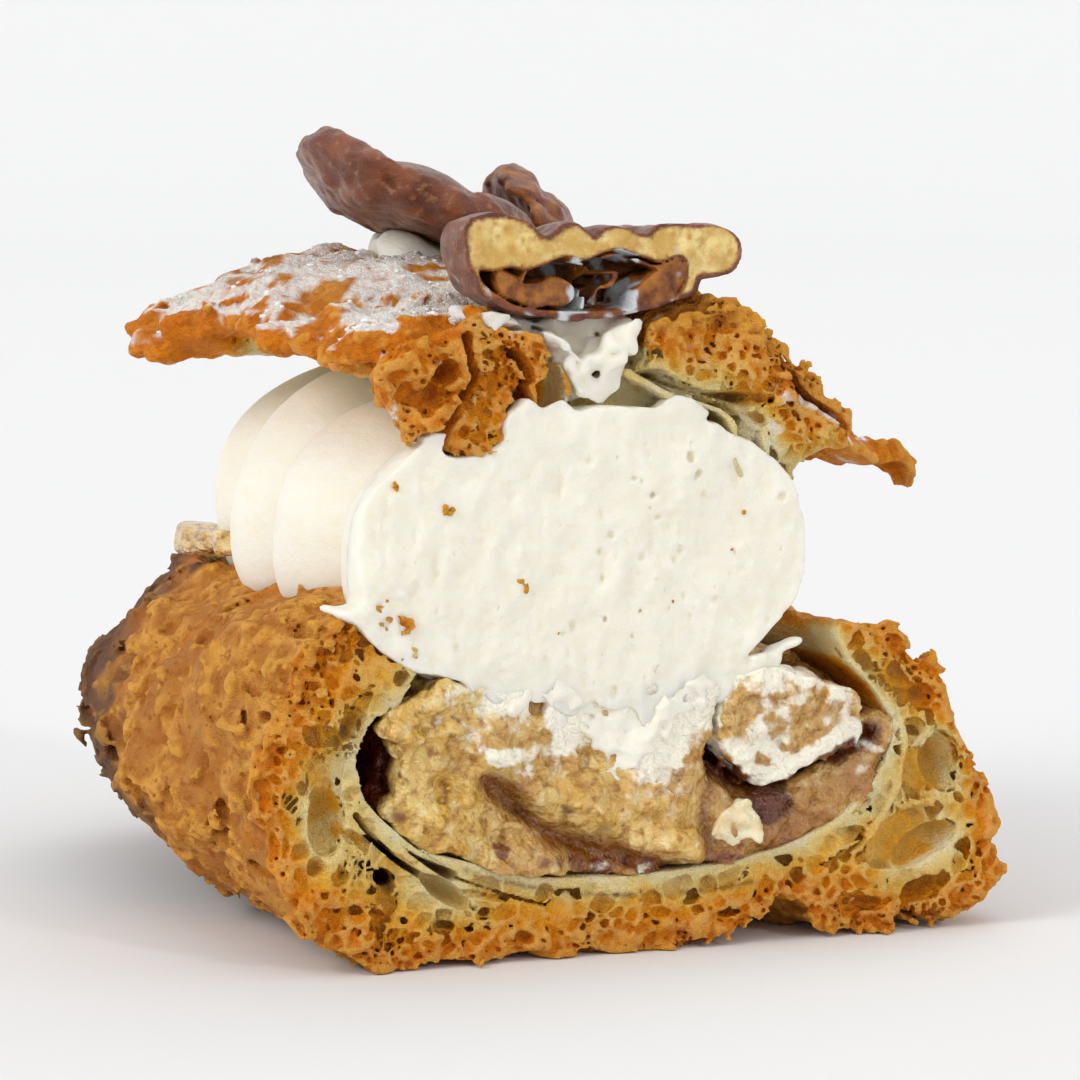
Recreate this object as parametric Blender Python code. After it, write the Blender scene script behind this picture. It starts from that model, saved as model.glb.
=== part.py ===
"""Half of a filled choux eclair, cut across with a knife.

A crusty choux shell holds a fruit compote with pieces of apple and pecan. A rope of piped cream
lies on it, under a choux lid that carries pecan halves stuck on with dabs of cream.

X runs across the eclair, Y along it from the cut face to the round end, and Z up from the table.
Every piece is modelled a little past the knife and is then cut flush at the face.
"""

import math

import bmesh
import bpy
from mathutils import Euler, Matrix, Vector, noise

MM = 0.001
TURN = 2.0 * math.pi

# Driving sizes of the eclair.
SHELL_LENGTH = 61 * MM
ROUND_END_LENGTH = 30 * MM
CREAM_LENGTH = 44 * MM
CREAM_PITCH = 11.4 * MM
LID_LENGTH = 46 * MM
GAP = 0.3 * MM
KNIFE_OVERRUN = 3 * MM
KNIFE_BLOCK = 200 * MM

# Shell: widest level, half widths, height of the closed loaf above that level on either side.
SHELL_MID = 10.5 * MM
SHELL_LEFT, SHELL_RIGHT, SHELL_FOOT = 24.4 * MM, 19.7 * MM, 4.6 * MM
SHELL_RISE_LEFT, SHELL_RISE_RIGHT = 13.6 * MM, 9.4 * MM
TIP_RISE, TIP_X = 1.9 * MM, 17 * MM
SHELL_DROP, KEEL_LIFT = 12 * MM, 6 * MM
SQUARE_LEFT, SQUARE_RIGHT = 3.0, 3.4
WALL_AT_END = 7 * MM
FOLD_X, FOLD_WIDTH, FOLD_DEPTH, FOLD_LENGTH = 8.6 * MM, 2.0 * MM, 3.0 * MM, 50 * MM

# Inside: the hollow for the compote, the gap between the curled rims, and the mouth above it.
HOLLOW_X, HOLLOW_MID, HOLLOW_HALF_WIDTH, HOLLOW_DROP = -1.2 * MM, 13 * MM, 17.5 * MM, 8.2 * MM
LIP_Z, LIP_REACH, MOUTH_TOP = 18.4 * MM, 4.3 * MM, 27 * MM
FLOOR_STEPS, WALL_LEVELS = 12, 7

# Cream: middle of its round section, half width, height above and below that middle.
CREAM_X, CREAM_MID, CREAM_HALF_WIDTH = -4.5 * MM, 24.2 * MM, 14.5 * MM
CREAM_RISE, CREAM_DROP, CREAM_BACK_RISE = 8.6 * MM, 8.8 * MM, 2.6 * MM
CREASE_DEPTH, CREAM_DRIFT = 0.17, 2 * MM

# Lid: its flat top, where the top starts to fall and how far, thickness at the eaves and inside.
LID_TOP, LID_BACK_RISE = 39.2 * MM, 2.4 * MM
LID_LEFT_START, LID_LEFT_SPAN, LID_LEFT_FALL = -4.8 * MM, 17.8 * MM, 6.8 * MM
LID_RIGHT_START, LID_RIGHT_SPAN, LID_RIGHT_FALL = 4 * MM, 14.5 * MM, 10.2 * MM
LID_EAVE, LID_MIDDLE = 1.4 * MM, 6.4 * MM

PECAN_WIDTH, PECAN_LENGTH, PECAN_UP, PECAN_DOWN = 19 * MM, 31 * MM, 3.4 * MM, 3.2 * MM

# Large air bubbles that the knife opened in the crumb, and two gaps beside the compote.
CRUMB_BUBBLES = (
    ((-20.6, 9.2), (1.2, 3, 2.2), 0.0),
    ((-13.2, 4.6), (2.2, 3, 0.7), 0.6),
    ((19.6, 10.6), (1.3, 3, 2.2), -0.2),
    ((18.4, 5.4), (2.8, 2.5, 1.1), -0.5),
    ((18.2, 14.6), (0.9, 2, 0.9), 0.0),
)
GAPS_BESIDE_COMPOTE = (
    ((-17.4, 11.8), (1.7, 7, 2.7), 0.2),
    ((14.7, 15.2), (1.9, 6, 2.3), 0.0),
)

# The split in the cut pecan, lined with its papery skin.
PECAN_HOLLOW = (((-4.4, 39.7), (3.9, 5, 1.0), 0.05),)

# Where the broken front lump of the lid presses into the cream.
DENTS_UNDER_LID = (((-11.6, 32.4), (3.4, 5, 2.6), -0.2),)

# Hollows in the lid at the face: one over the cream, and a notch that splits the front lump.
LID_CAVES = (
    ((-1.4, 33.6), (4.2, 5, 1.3), 0.15),
    ((-11.2, 30.6), (0.9, 4, 2.2), 0.3),
)

COLOURS = {
    "crust": ((0.42, 0.19, 0.055), 0.75),
    "compote": ((0.53, 0.34, 0.11), 0.3),
    "apple": ((0.62, 0.42, 0.13), 0.3),
    "cream": ((0.86, 0.82, 0.69), 0.5),
    "pecan": ((0.2, 0.075, 0.04), 0.45),
}


def clear_scene():
    for obj in list(bpy.data.objects):
        bpy.data.objects.remove(obj)


def new_collection(name):
    collection = bpy.data.collections.new(name)
    bpy.context.scene.collection.children.link(collection)
    return collection


def food_material(name):
    """A plain food finish, made once for each kind of food."""
    if name in bpy.data.materials:
        return bpy.data.materials[name]
    colour, roughness = COLOURS[name]
    material = bpy.data.materials.new(name)
    material.use_nodes = True
    finish = material.node_tree.nodes["Principled BSDF"]
    finish.inputs["Base Color"].default_value = (*colour, 1.0)
    finish.inputs["Roughness"].default_value = roughness
    finish.inputs["Metallic"].default_value = 0.0
    return material


def object_from(bm, name, collection, food=None):
    if bm.calc_volume(signed=True) < 0:
        bmesh.ops.reverse_faces(bm, faces=bm.faces)
    mesh = bpy.data.meshes.new(name)
    bm.to_mesh(mesh)
    bm.free()
    obj = bpy.data.objects.new(name, mesh)
    collection.objects.link(obj)
    if food:
        mesh.materials.append(food_material(food))
    return obj


def lumps(point, size, depth):
    """Smooth unevenness: lumps of this size, standing out or in by up to this depth."""
    return depth * noise.noise(Vector(point) / size)


def crags(point, size, depth):
    """Rough crust: three sizes of lump, each half as large and half as deep as the last."""
    return sum(lumps(point, size / 2**k, depth / 2**k) for k in range(3))


def power_circle(angle, squareness):
    """A point on a unit superellipse; 2 is a circle and more is squarer."""
    c, s = math.cos(angle), math.sin(angle)
    exponent = 2.0 / squareness
    return math.copysign(abs(c) ** exponent, c), math.copysign(abs(s) ** exponent, s)


def round_off(y, start, end, squareness=2.5):
    """How full a section still is at y: 1 up to start, then rounding down to 0 at end."""
    t = min(max((y - start) / (end - start), 0.0), 1.0)
    return max(1.0 - t**squareness, 0.0) ** (1.0 / squareness)


def bump(x, centre, width):
    """A smooth bell of height 1."""
    return math.exp(-(((x - centre) / width) ** 2))


def ease(t):
    """From 0 to 1 with a level start and a level end."""
    t = min(max(t, 0.0), 1.0)
    return t * t * (3.0 - 2.0 * t)


def stations(start, straight_end, end, straight_rings, end_rings):
    """Places for rings: even along the straight, then closer together round the end."""
    along = [start + (straight_end - start) * i / straight_rings for i in range(straight_rings)]
    turn = [math.sin(0.5 * math.pi * i / end_rings) for i in range(end_rings)]
    return along + [straight_end + (end - straight_end) * t for t in turn] + [end - 0.02 * MM]


def skin_over_rings(rings):
    """A closed bmesh through rings of points, each ring with the same number of points."""
    bm = bmesh.new()
    loops = [[bm.verts.new(p) for p in ring] for ring in rings]
    for near, far in zip(loops, loops[1:]):
        for i in range(len(near)):
            j = (i + 1) % len(near)
            bm.faces.new((near[i], near[j], far[j], far[i]))
    bm.faces.new(reversed(loops[0]))
    bm.faces.new(loops[-1])
    return bm


def boolean(target, other, operation, solver="EXACT"):
    """Joins or cuts target with other, and keeps the result as target's mesh."""
    modifier = target.modifiers.new(operation.lower(), "BOOLEAN")
    modifier.operation = operation
    modifier.object = other
    modifier.solver = solver
    graph = bpy.context.evaluated_depsgraph_get()
    mesh = bpy.data.meshes.new_from_object(target.evaluated_get(graph))
    target.modifiers.clear()
    old = target.data
    target.data = mesh
    bpy.data.meshes.remove(old)


def keep_largest_scrap(obj):
    """Drops the loose crumbs that a cut can leave beside the main piece."""
    bm = bmesh.new()
    bm.from_mesh(obj.data)
    unseen = set(bm.verts)
    islands = []
    while unseen:
        todo = [unseen.pop()]
        island = set(todo)
        while todo:
            for edge in todo.pop().link_edges:
                for vert in edge.verts:
                    if vert in unseen:
                        unseen.discard(vert)
                        island.add(vert)
                        todo.append(vert)
        islands.append(island)
    islands.sort(key=len)
    scraps = [vert for island in islands[:-1] for vert in island]
    bmesh.ops.delete(bm, geom=scraps, context="VERTS")
    bm.to_mesh(obj.data)
    bm.free()


def swollen_copy(obj, gap, cutters):
    """A copy pushed outwards by a gap, for cutting a neighbour clear of it."""
    bm = bmesh.new()
    bm.from_mesh(obj.data)
    bmesh.ops.transform(bm, matrix=obj.matrix_world, verts=bm.verts)
    bm.normal_update()
    offsets = [vert.normal * gap * vert.calc_shell_factor() for vert in bm.verts]
    for vert, offset in zip(bm.verts, offsets):
        vert.co += offset.normalized() * min(offset.length, 1.6 * gap)
    copy = object_from(bm, obj.name + "_swollen", cutters)
    hide_helper(copy)
    return copy


def hide_helper(obj):
    obj.hide_render = True
    obj.display_type = "WIRE"


def cut_clear_of(obj, neighbours, cutters):
    """Trims obj so that it fits round its neighbours, a gap away."""
    bpy.context.view_layer.update()
    for neighbour in neighbours:
        # The second, slimmer cut catches sharp corners that the first one rounds over.
        for gap in (GAP, 0.2 * GAP):
            cutter = swollen_copy(neighbour, gap, cutters)
            boolean(obj, cutter, "DIFFERENCE", "MANIFOLD")
            bpy.data.objects.remove(cutter)
    keep_largest_scrap(obj)


def knife_cut(obj, cutters, y=0.0):
    """Slices off what stands past the knife, with a block whose far side is the knife's blade."""
    bm = bmesh.new()
    block = Matrix.Translation((0, y - KNIFE_BLOCK / 2, 0)) @ Matrix.Scale(KNIFE_BLOCK, 4)
    bmesh.ops.create_cube(bm, size=1.0, matrix=block)
    knife = object_from(bm, "knife", cutters)
    hide_helper(knife)
    boolean(obj, knife, "DIFFERENCE", "MANIFOLD")
    bpy.data.objects.remove(knife)
    keep_largest_scrap(obj)


def ellipsoid(name, centre, radii, collection, tilt=0.0):
    bm = bmesh.new()
    turned = Euler((0, tilt, 0)).to_matrix().to_4x4()
    place = Matrix.Translation(centre) @ turned @ Matrix.Diagonal((*radii, 1))
    bmesh.ops.create_uvsphere(bm, u_segments=10, v_segments=6, radius=1.0, matrix=place)
    return object_from(bm, name, collection)


# The choux shell


def shell_point(y, angle):
    """The outside of the closed choux loaf, which spreads to a foot on its right."""
    right = math.cos(angle) > 0
    across, up = power_circle(angle, SQUARE_RIGHT if right else SQUARE_LEFT)
    fullness = round_off(y, SHELL_LENGTH - ROUND_END_LENGTH, SHELL_LENGTH)
    height = round_off(y, SHELL_LENGTH - 0.9 * ROUND_END_LENGTH, SHELL_LENGTH, 2.1)
    side = ease(0.5 + 0.5 * across)
    rise = SHELL_RISE_LEFT + (SHELL_RISE_RIGHT - SHELL_RISE_LEFT) * side
    z = SHELL_MID + (rise if up > 0 else SHELL_DROP) * height * up
    # The left underside lifts clear of the table towards the round end.
    if up < 0:
        outer = ease(-1.5 * across - 0.1) * ease(-2.5 * up)
        z += KEEL_LIFT * ease((y - 1 * MM) / (46 * MM)) * outer * height
    # A broken tip of crust stands up on the right rim at the knife.
    if right and up > 0:
        z += TIP_RISE * bump(SHELL_RIGHT * across, TIP_X, 2.6 * MM) * bump(y, 0, 3 * MM)
    if right:
        x = (SHELL_RIGHT + SHELL_FOOT * bump(z, 6.5 * MM, 5.2 * MM)) * fullness * across
    else:
        x = SHELL_LEFT * fullness * across
    rough = crags((x, y, z), 5 * MM, 0.75 * MM)
    x += rough * across
    z += rough * up
    if up < 0:
        groove = max(bump(x, FOLD_X, FOLD_WIDTH) - 0.03, 0.0) * (1.0 - ease(y / FOLD_LENGTH))
        z = max(z, 0.0) + FOLD_DEPTH * groove
    return x, y, z


def loaf_angles(count):
    """Even steps round the loaf, with a few more underneath, where the fold needs them."""
    angles = [TURN * i / count for i in range(count)]
    low = math.pi * 1.5
    return sorted(angles + [low + step * 0.06 for step in (2, 4, 6, 8)])


def hollow_width(z):
    """Half the gap between the walls: wide below, pinched by the rims, flaring out to the mouth."""
    pinched = HOLLOW_HALF_WIDTH - LIP_REACH * ease((z - HOLLOW_MID) / (LIP_Z - HOLLOW_MID))
    above = max(z - LIP_Z, 0.0) / MM
    return pinched + 0.36 * MM * above**1.3


def inside_ring(y):
    """One slice of the space inside: round the floor, up the left wall, and down the right one."""
    end = SHELL_LENGTH - WALL_AT_END
    fullness = round_off(y, end - 18 * MM, end)
    ring = []
    for i in range(FLOOR_STEPS + 1):
        across, up = power_circle(-math.pi * i / FLOOR_STEPS, 2.3)
        ring.append((HOLLOW_HALF_WIDTH * across, HOLLOW_MID + HOLLOW_DROP * fullness * up))
    step = (MOUTH_TOP - HOLLOW_MID) / WALL_LEVELS
    heights = [HOLLOW_MID + step * (i + 1) for i in range(WALL_LEVELS)]
    ring += [(-hollow_width(z), z) for z in heights]
    ring += [(hollow_width(z), z) for z in reversed(heights)]
    return [
        (HOLLOW_X + x * fullness + lumps((x, y, z), 6 * MM, 0.7 * MM), y, z) for x, z in ring
    ]


def loft(name, point, places, angles, collection, food=None):
    """A closed solid over rings of points round the section, one ring for each place along Y."""
    if isinstance(angles, int):
        angles = [TURN * i / angles for i in range(angles)]
    rings = [[point(y, angle) for angle in angles] for y in places]
    return object_from(skin_over_rings(rings), name, collection, food)


def carve(obj, cutters, bubbles):
    """Rounded holes that the knife opened at the face: (x, z), radii (x, y, z), tilt."""
    for number, ((x, z), radii, tilt) in enumerate(bubbles):
        centre = (x * MM, 0, z * MM)
        cutter = ellipsoid(f"bubble_{number}", centre, [r * MM for r in radii], cutters, tilt)
        hide_helper(cutter)
        boolean(obj, cutter, "DIFFERENCE", "MANIFOLD")
        bpy.data.objects.remove(cutter)
    keep_largest_scrap(obj)


def make_shell(parts, cutters):
    places = stations(0, SHELL_LENGTH - ROUND_END_LENGTH, SHELL_LENGTH, 12, 9)
    shell = loft("choux_shell", shell_point, places, loaf_angles(40), parts, "crust")
    end = SHELL_LENGTH - WALL_AT_END
    along = stations(-KNIFE_OVERRUN, end - 18 * MM, end, 8, 6)
    cutter = object_from(skin_over_rings([inside_ring(y) for y in along]), "inside", cutters)
    hide_helper(cutter)
    boolean(shell, cutter, "DIFFERENCE", "MANIFOLD")
    bpy.data.objects.remove(cutter)
    carve(shell, cutters, CRUMB_BUBBLES)
    return shell


# The piped cream


def cream_point(y, angle):
    """A round rope of cream, pinched in at each turn of the piping, and taller towards the back."""
    across, up = power_circle(angle, 2.35)
    slant = y + 0.12 * CREAM_DROP * up
    lobe = abs(math.sin(math.pi * (slant + 4.0 * MM) / CREAM_PITCH)) ** 0.55
    pinch = 1.0 - CREASE_DEPTH * (1.0 - lobe)
    fullness = round_off(y, CREAM_LENGTH - 13 * MM, CREAM_LENGTH, 2.2) * pinch
    rise = CREAM_RISE + CREAM_BACK_RISE * ease((y - 4 * MM) / (22 * MM))
    x = CREAM_X + CREAM_DRIFT * ease((y - 16 * MM) / (24 * MM)) + CREAM_HALF_WIDTH * fullness * across
    z = CREAM_MID + (rise if up > 0 else CREAM_DROP) * fullness * up
    return x, y, z + lumps((x, y, z), 9 * MM, 0.5 * MM)


def make_cream(parts, cutters, neighbours):
    places = stations(-KNIFE_OVERRUN, CREAM_LENGTH - 9 * MM, CREAM_LENGTH, 18, 5)
    cream = loft("piped_cream", cream_point, places, 26, parts, "cream")
    cut_clear_of(cream, neighbours, cutters)
    knife_cut(cream, cutters)
    carve(cream, cutters, DENTS_UNDER_LID)
    return cream


# The compote with its apple and pecan


def chunk(name, size, centre, turn, parts, food, seed):
    """A soft-edged piece of fruit: a box with its corners rounded off and its faces uneven."""
    bm = bmesh.new()
    bmesh.ops.create_cube(bm, size=1.0)
    bmesh.ops.subdivide_edges(bm, edges=bm.edges, cuts=4, use_grid_fill=True)
    for vert in bm.verts:
        ball = vert.co.normalized() * 0.62
        vert.co = vert.co.lerp(ball, 0.55)
        vert.co += vert.co.normalized() * lumps(vert.co + Vector((seed, 0, 0)), 0.35, 0.09)
    place = Matrix.Translation(centre) @ Euler(turn).to_matrix().to_4x4() @ Matrix.Diagonal((*size, 1))
    bmesh.ops.transform(bm, matrix=place, verts=bm.verts)
    return object_from(bm, name, parts, food)


def make_apple_far(parts, cutters, shell):
    """A piece pushed out over the rim beside the last turns of cream."""
    centre = Vector((-15.0, 35, 22.0)) * MM
    size = Vector((6.4, 11, 6.4)) * MM
    apple = chunk("apple_far", size, centre, (0.1, 0.5, -0.12), parts, "apple", 3.0)
    cut_clear_of(apple, [shell], cutters)
    return apple


def make_apples(parts, cutters, shell, cream):
    """Two pieces of cooked apple, cut through by the knife."""
    pieces = (
        ("apple_left", (7.8, 10, 11.0), (-11.4, 1.5, 12.1), (0.1, 0.35, 0.1), 1.0),
        ("apple_right", (9.0, 9, 7.4), (9.2, 1.5, 13.6), (0.0, 0.3, -0.2), 2.0),
    )
    made = []
    for name, size, centre, turn, seed in pieces:
        apple = chunk(name, Vector(size) * MM, Vector(centre) * MM, turn, parts, "apple", seed)
        cut_clear_of(apple, [shell, cream], cutters)
        knife_cut(apple, cutters)
        made.append(apple)
    return made


def compote_ring(y, top_steps=9):
    """The floor and lower walls of the hollow, drawn in by a gap, under a lumpy top."""
    inside = inside_ring(y)
    walls = [inside[-1], *inside[: FLOOR_STEPS + 2]]
    end = SHELL_LENGTH - WALL_AT_END
    fullness = round_off(y, end - 18 * MM, end)
    ring = []
    for x, _, z in walls:
        out = Vector((x - HOLLOW_X, 0, z - HOLLOW_MID))
        drawn_in = max(1.0 - 1.4 * GAP / max(out.length, 0.1 * MM), 0.0)
        ring.append((HOLLOW_X + out.x * drawn_in, y - GAP, HOLLOW_MID + out.z * drawn_in))
    for i in range(top_steps):
        share = -1.0 + 2.0 * i / (top_steps - 1)
        x = HOLLOW_X + 12.4 * MM * fullness * share
        top = 17.6 * MM - 0.6 * MM * share**4 + lumps((x, y, 0), 5 * MM, 1.1 * MM)
        ring.append((x, y - GAP, HOLLOW_MID + (top - HOLLOW_MID) * max(fullness, 0.1)))
    return ring


def make_compote(parts, cutters, neighbours):
    end = SHELL_LENGTH - WALL_AT_END
    places = stations(-KNIFE_OVERRUN, end - 18 * MM, end, 8, 6)
    rings = [compote_ring(y) for y in places]
    compote = object_from(skin_over_rings(rings), "compote", parts, "compote")
    cut_clear_of(compote, neighbours, cutters)
    knife_cut(compote, cutters)
    carve(compote, cutters, GAPS_BESIDE_COMPOTE)
    return compote


# The lid


def lid_left(y):
    """Left eave: broken off short at the knife, then out to a pointed wing."""
    return -(13.6 + 4.2 * ease(y / (6 * MM)) + 4.6 * bump(y, 38 * MM, 8 * MM)) * MM


def lid_right(y):
    """Right eave, with a flake that sticks out near the knife."""
    return (12.2 + 3.8 * ease(y / (5 * MM)) + 5.0 * bump(y, 6.5 * MM, 3 * MM)) * MM


def lid_top(x, y):
    """Level along the middle, a slow fall to the left, a steep one to the right, up at the back."""
    left = max(LID_LEFT_START - x, 0.0) / LID_LEFT_SPAN
    right = (x - LID_RIGHT_START) / LID_RIGHT_SPAN
    fall = LID_LEFT_FALL * left**2.4 + LID_RIGHT_FALL * ease(right)
    back = LID_BACK_RISE * ease((y - 6 * MM) / (20 * MM))
    return LID_TOP - fall + back + crags((x, y, 0), 6 * MM, 0.8 * MM)


def lid_thickness(x, y, share):
    """Thin at the eaves and thicker inside, with a heavy broken lump at the front left."""
    inside = 1.0 - abs(share) ** 2.3
    lump = 4.2 * MM * bump(x, -11 * MM, 3.4 * MM) * bump(y, 0, 5 * MM)
    heel = 3.6 * MM * bump(x, 9.6 * MM, 2.6 * MM) * bump(y, 0, 4.5 * MM)
    thick = LID_EAVE + (LID_MIDDLE - LID_EAVE) * inside
    return thick + lump + heel + crags((x, 0, y), 4 * MM, 0.6 * MM)


def lid_ring(y, columns):
    """Over the top from the left eave to the right, and back underneath."""
    narrow = round_off(y, LID_LENGTH - 16 * MM, LID_LENGTH, 2.4)
    middle = 0.5 * (lid_left(y) + lid_right(y))
    half = 0.5 * (lid_right(y) - lid_left(y)) * max(narrow, 0.12)
    shares = [-1.0 + 2.0 * i / (columns - 1) for i in range(columns)]
    top = [(middle + half * share, share) for share in shares]
    under = [(middle + half * share * 0.98, share) for share in reversed(shares)]
    ring = [(x, y, lid_top(x, y)) for x, share in top]
    thin = max(narrow, 0.3)
    return ring + [(x, y, lid_top(x, y) - lid_thickness(x, y, share) * thin) for x, share in under]


def make_lid(parts, cutters, neighbours):
    rows = 19
    places = [-KNIFE_OVERRUN + (LID_LENGTH + KNIFE_OVERRUN) * i / (rows - 1) for i in range(rows)]
    rings = [lid_ring(y, 19) for y in places]
    lid = object_from(skin_over_rings(rings), "choux_lid", parts, "crust")
    carve(lid, cutters, LID_CAVES)
    cut_clear_of(lid, neighbours, cutters)
    knife_cut(lid, cutters)
    return lid


# Pecans


def pecan_ring(v, hollow, count):
    """One slice of a pecan half at v from -1 to 1: two grooves on its back, a hollow beneath."""
    taper = max(1.0 - abs(v) ** 2.4, 0.004) ** 0.5
    pointed = 1.0 - 0.12 * v
    ring = []
    for i in range(count):
        across, up = power_circle(TURN * (i + 0.5) / count, 2.5)
        x = 0.5 * PECAN_WIDTH * taper * pointed * across
        y = 0.5 * PECAN_LENGTH * v
        if up > 0:
            grooves = bump(abs(across), 0.36, 0.1)
            z = PECAN_UP * taper * up * (1.0 - 0.55 * grooves)
        else:
            thinner = (1.0 - 0.25 * across) * (1.0 - hollow * bump(across, 0.15, 0.42))
            z = PECAN_DOWN * taper * up * thinner
        wrinkle = lumps((x, y, z), 2.6 * MM, 0.75 * MM) * taper
        ring.append((x + 0.4 * wrinkle * across, y, z + wrinkle * (1 if up > 0 else 0.4)))
    return ring


def make_pecan(name, parts, centre, turn, scale, hollow, rows=13, count=28):
    """A pecan half about its own middle, long along Y, set down at a place and turn."""
    places = [math.sin(0.5 * math.pi * (-1.0 + 2.0 * i / (rows - 1))) for i in range(rows)]
    bm = skin_over_rings([pecan_ring(v, hollow, count) for v in places])
    place = Matrix.Translation(Vector(centre) * MM) @ Euler(turn).to_matrix().to_4x4()
    bmesh.ops.transform(bm, matrix=place @ Matrix.Diagonal((*scale, 1)), verts=bm.verts)
    return object_from(bm, name, parts, "pecan")


def make_pecan_in_compote(parts, cutters, neighbours):
    nut = make_pecan(
        "pecan_inside", parts, (9.6, 3.0, 8.9), (0.0, -0.3, 0.2), (0.66, 0.7, 0.85), 0.6, 9, 16
    )
    cut_clear_of(nut, neighbours, cutters)
    knife_cut(nut, cutters)
    return nut


def make_pecans(parts, cutters):
    """The one cut by the knife, one tipped up behind it, and one leaning at the back."""
    front = make_pecan(
        "pecan_front", parts, (-3.6, -1.5, 41.1), (0.0, 0.03, 0.0), (1.0, 0.95, 1.0), 0.2
    )
    knife_cut(front, cutters, 0.2 * MM)
    carve(front, cutters, PECAN_HOLLOW)
    tipped = make_pecan(
        "pecan_tipped", parts, (-4.4, 29.5, 45.3), (0.0, 0.38, -0.3), (0.86, 0.9, 1.0), 0.3
    )
    cut_clear_of(tipped, [front], cutters)
    leaning = make_pecan(
        "pecan_leaning", parts, (5.8, 34.0, 43.2), (0.0, 0.95, -0.3), (0.5, 0.62, 0.8), 1.0, 9, 18
    )
    cut_clear_of(leaning, [front, tipped], cutters)
    return [front, tipped, leaning]


def make_dabs(parts, cutters, cream, pecans):
    """Cream that holds the pecans down: one squeezed into the crack at the face, one further back."""
    pieces = (
        ("cream_dab_front", (9.0, 10, 6.6), (-5.4, 2.0, 36.4), (0.0, 0.1, 0.0), 4.0),
        ("cream_dab_back", (11, 15, 4.4), (-0.6, 30.5, 41.5), (0.0, 0.12, -0.2), 5.0),
    )
    made = []
    for name, size, centre, turn, seed in pieces:
        dab = chunk(name, Vector(size) * MM, Vector(centre) * MM, turn, parts, "cream", seed)
        cut_clear_of(dab, [cream, *pecans], cutters)
        knife_cut(dab, cutters)
        made.append(dab)
    return made


def set_down_on_table(parts):
    """Moves everything so that the middle of the whole stands at the origin, on the table."""
    bpy.context.view_layer.update()
    corners = [
        obj.matrix_world @ vert.co for obj in parts.objects for vert in obj.data.vertices
    ]
    low = [min(c[axis] for c in corners) for axis in range(3)]
    high = [max(c[axis] for c in corners) for axis in range(3)]
    shift = Vector((-(low[0] + high[0]) / 2, -(low[1] + high[1]) / 2, -low[2]))
    for obj in parts.objects:
        obj.data.transform(Matrix.Translation(shift))


def main():
    clear_scene()
    parts = new_collection("eclair_half")
    cutters = new_collection("cutters")
    shell = make_shell(parts, cutters)
    apple_far = make_apple_far(parts, cutters, shell)
    cream = make_cream(parts, cutters, [shell, apple_far])
    apples = make_apples(parts, cutters, shell, cream)
    nut = make_pecan_in_compote(parts, cutters, [shell, cream, *apples])
    make_compote(parts, cutters, [shell, cream, *apples, nut])
    pecans = make_pecans(parts, cutters)
    dabs = make_dabs(parts, cutters, cream, pecans)
    make_lid(parts, cutters, [cream, *pecans, *dabs])
    set_down_on_table(parts)


main()
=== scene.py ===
# %% [markdown]
# # Half of a filled eclair
# A crusty choux shell is filled with apple compote and pecans, topped with a rope of whipped cream,
# and closed with a choux lid that carries pecan halves under a dusting of sugar. A knife has cut it
# across, so one face shows the crumb, the lining, the filling and the cream.
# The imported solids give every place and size. The lesson dresses them with crumb, crust and finish.

import math

import bmesh
import bpy
import numpy as np
import openvdb as vdb
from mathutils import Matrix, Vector


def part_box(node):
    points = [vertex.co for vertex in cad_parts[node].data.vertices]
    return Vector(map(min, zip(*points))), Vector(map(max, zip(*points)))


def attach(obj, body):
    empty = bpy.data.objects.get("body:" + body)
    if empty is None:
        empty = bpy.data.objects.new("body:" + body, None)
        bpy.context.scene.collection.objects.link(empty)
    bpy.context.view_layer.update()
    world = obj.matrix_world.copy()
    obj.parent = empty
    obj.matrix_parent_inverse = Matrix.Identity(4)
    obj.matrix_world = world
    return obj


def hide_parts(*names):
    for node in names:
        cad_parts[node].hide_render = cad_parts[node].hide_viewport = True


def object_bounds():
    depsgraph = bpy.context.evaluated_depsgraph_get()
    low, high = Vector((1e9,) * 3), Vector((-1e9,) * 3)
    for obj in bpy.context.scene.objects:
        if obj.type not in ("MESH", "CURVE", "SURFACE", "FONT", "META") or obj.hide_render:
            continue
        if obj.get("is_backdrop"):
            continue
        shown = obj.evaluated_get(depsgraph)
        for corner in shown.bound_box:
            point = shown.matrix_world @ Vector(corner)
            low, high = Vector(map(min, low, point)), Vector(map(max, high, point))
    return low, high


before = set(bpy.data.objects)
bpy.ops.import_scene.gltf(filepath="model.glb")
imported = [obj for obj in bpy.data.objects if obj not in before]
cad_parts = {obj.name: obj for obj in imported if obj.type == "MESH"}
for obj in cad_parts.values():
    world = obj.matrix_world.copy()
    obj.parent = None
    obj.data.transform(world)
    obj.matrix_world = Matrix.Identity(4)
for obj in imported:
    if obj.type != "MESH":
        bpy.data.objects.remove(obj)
cad_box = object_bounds()
MM = 0.001
BODY = "root"
print("nodes:", ", ".join(sorted(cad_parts)))


# %% Where things are, in millimetres
def box_mm(node):
    """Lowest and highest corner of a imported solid, in millimetres."""
    low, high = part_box(node)
    return np.array(low) / MM, np.array(high) / MM


SHELL_LOW, SHELL_HIGH = box_mm("choux_shell")
FACE = SHELL_LOW[1]
print("the knife's face is at y =", round(FACE, 2), "mm")

# %% [markdown]
# ## The table, the light and the camera
# Pastry on a pale table looks best in a bright tent of light. A broad key light stands behind its right
# shoulder, a broad fill at its left, and a small light in front makes the wet filling glint.


# %% Short ways to add an object and a node
def new_object(name, data):
    """An object that holds this data, in the scene."""
    obj = bpy.data.objects.new(name, data)
    bpy.context.scene.collection.objects.link(obj)
    return obj


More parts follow.
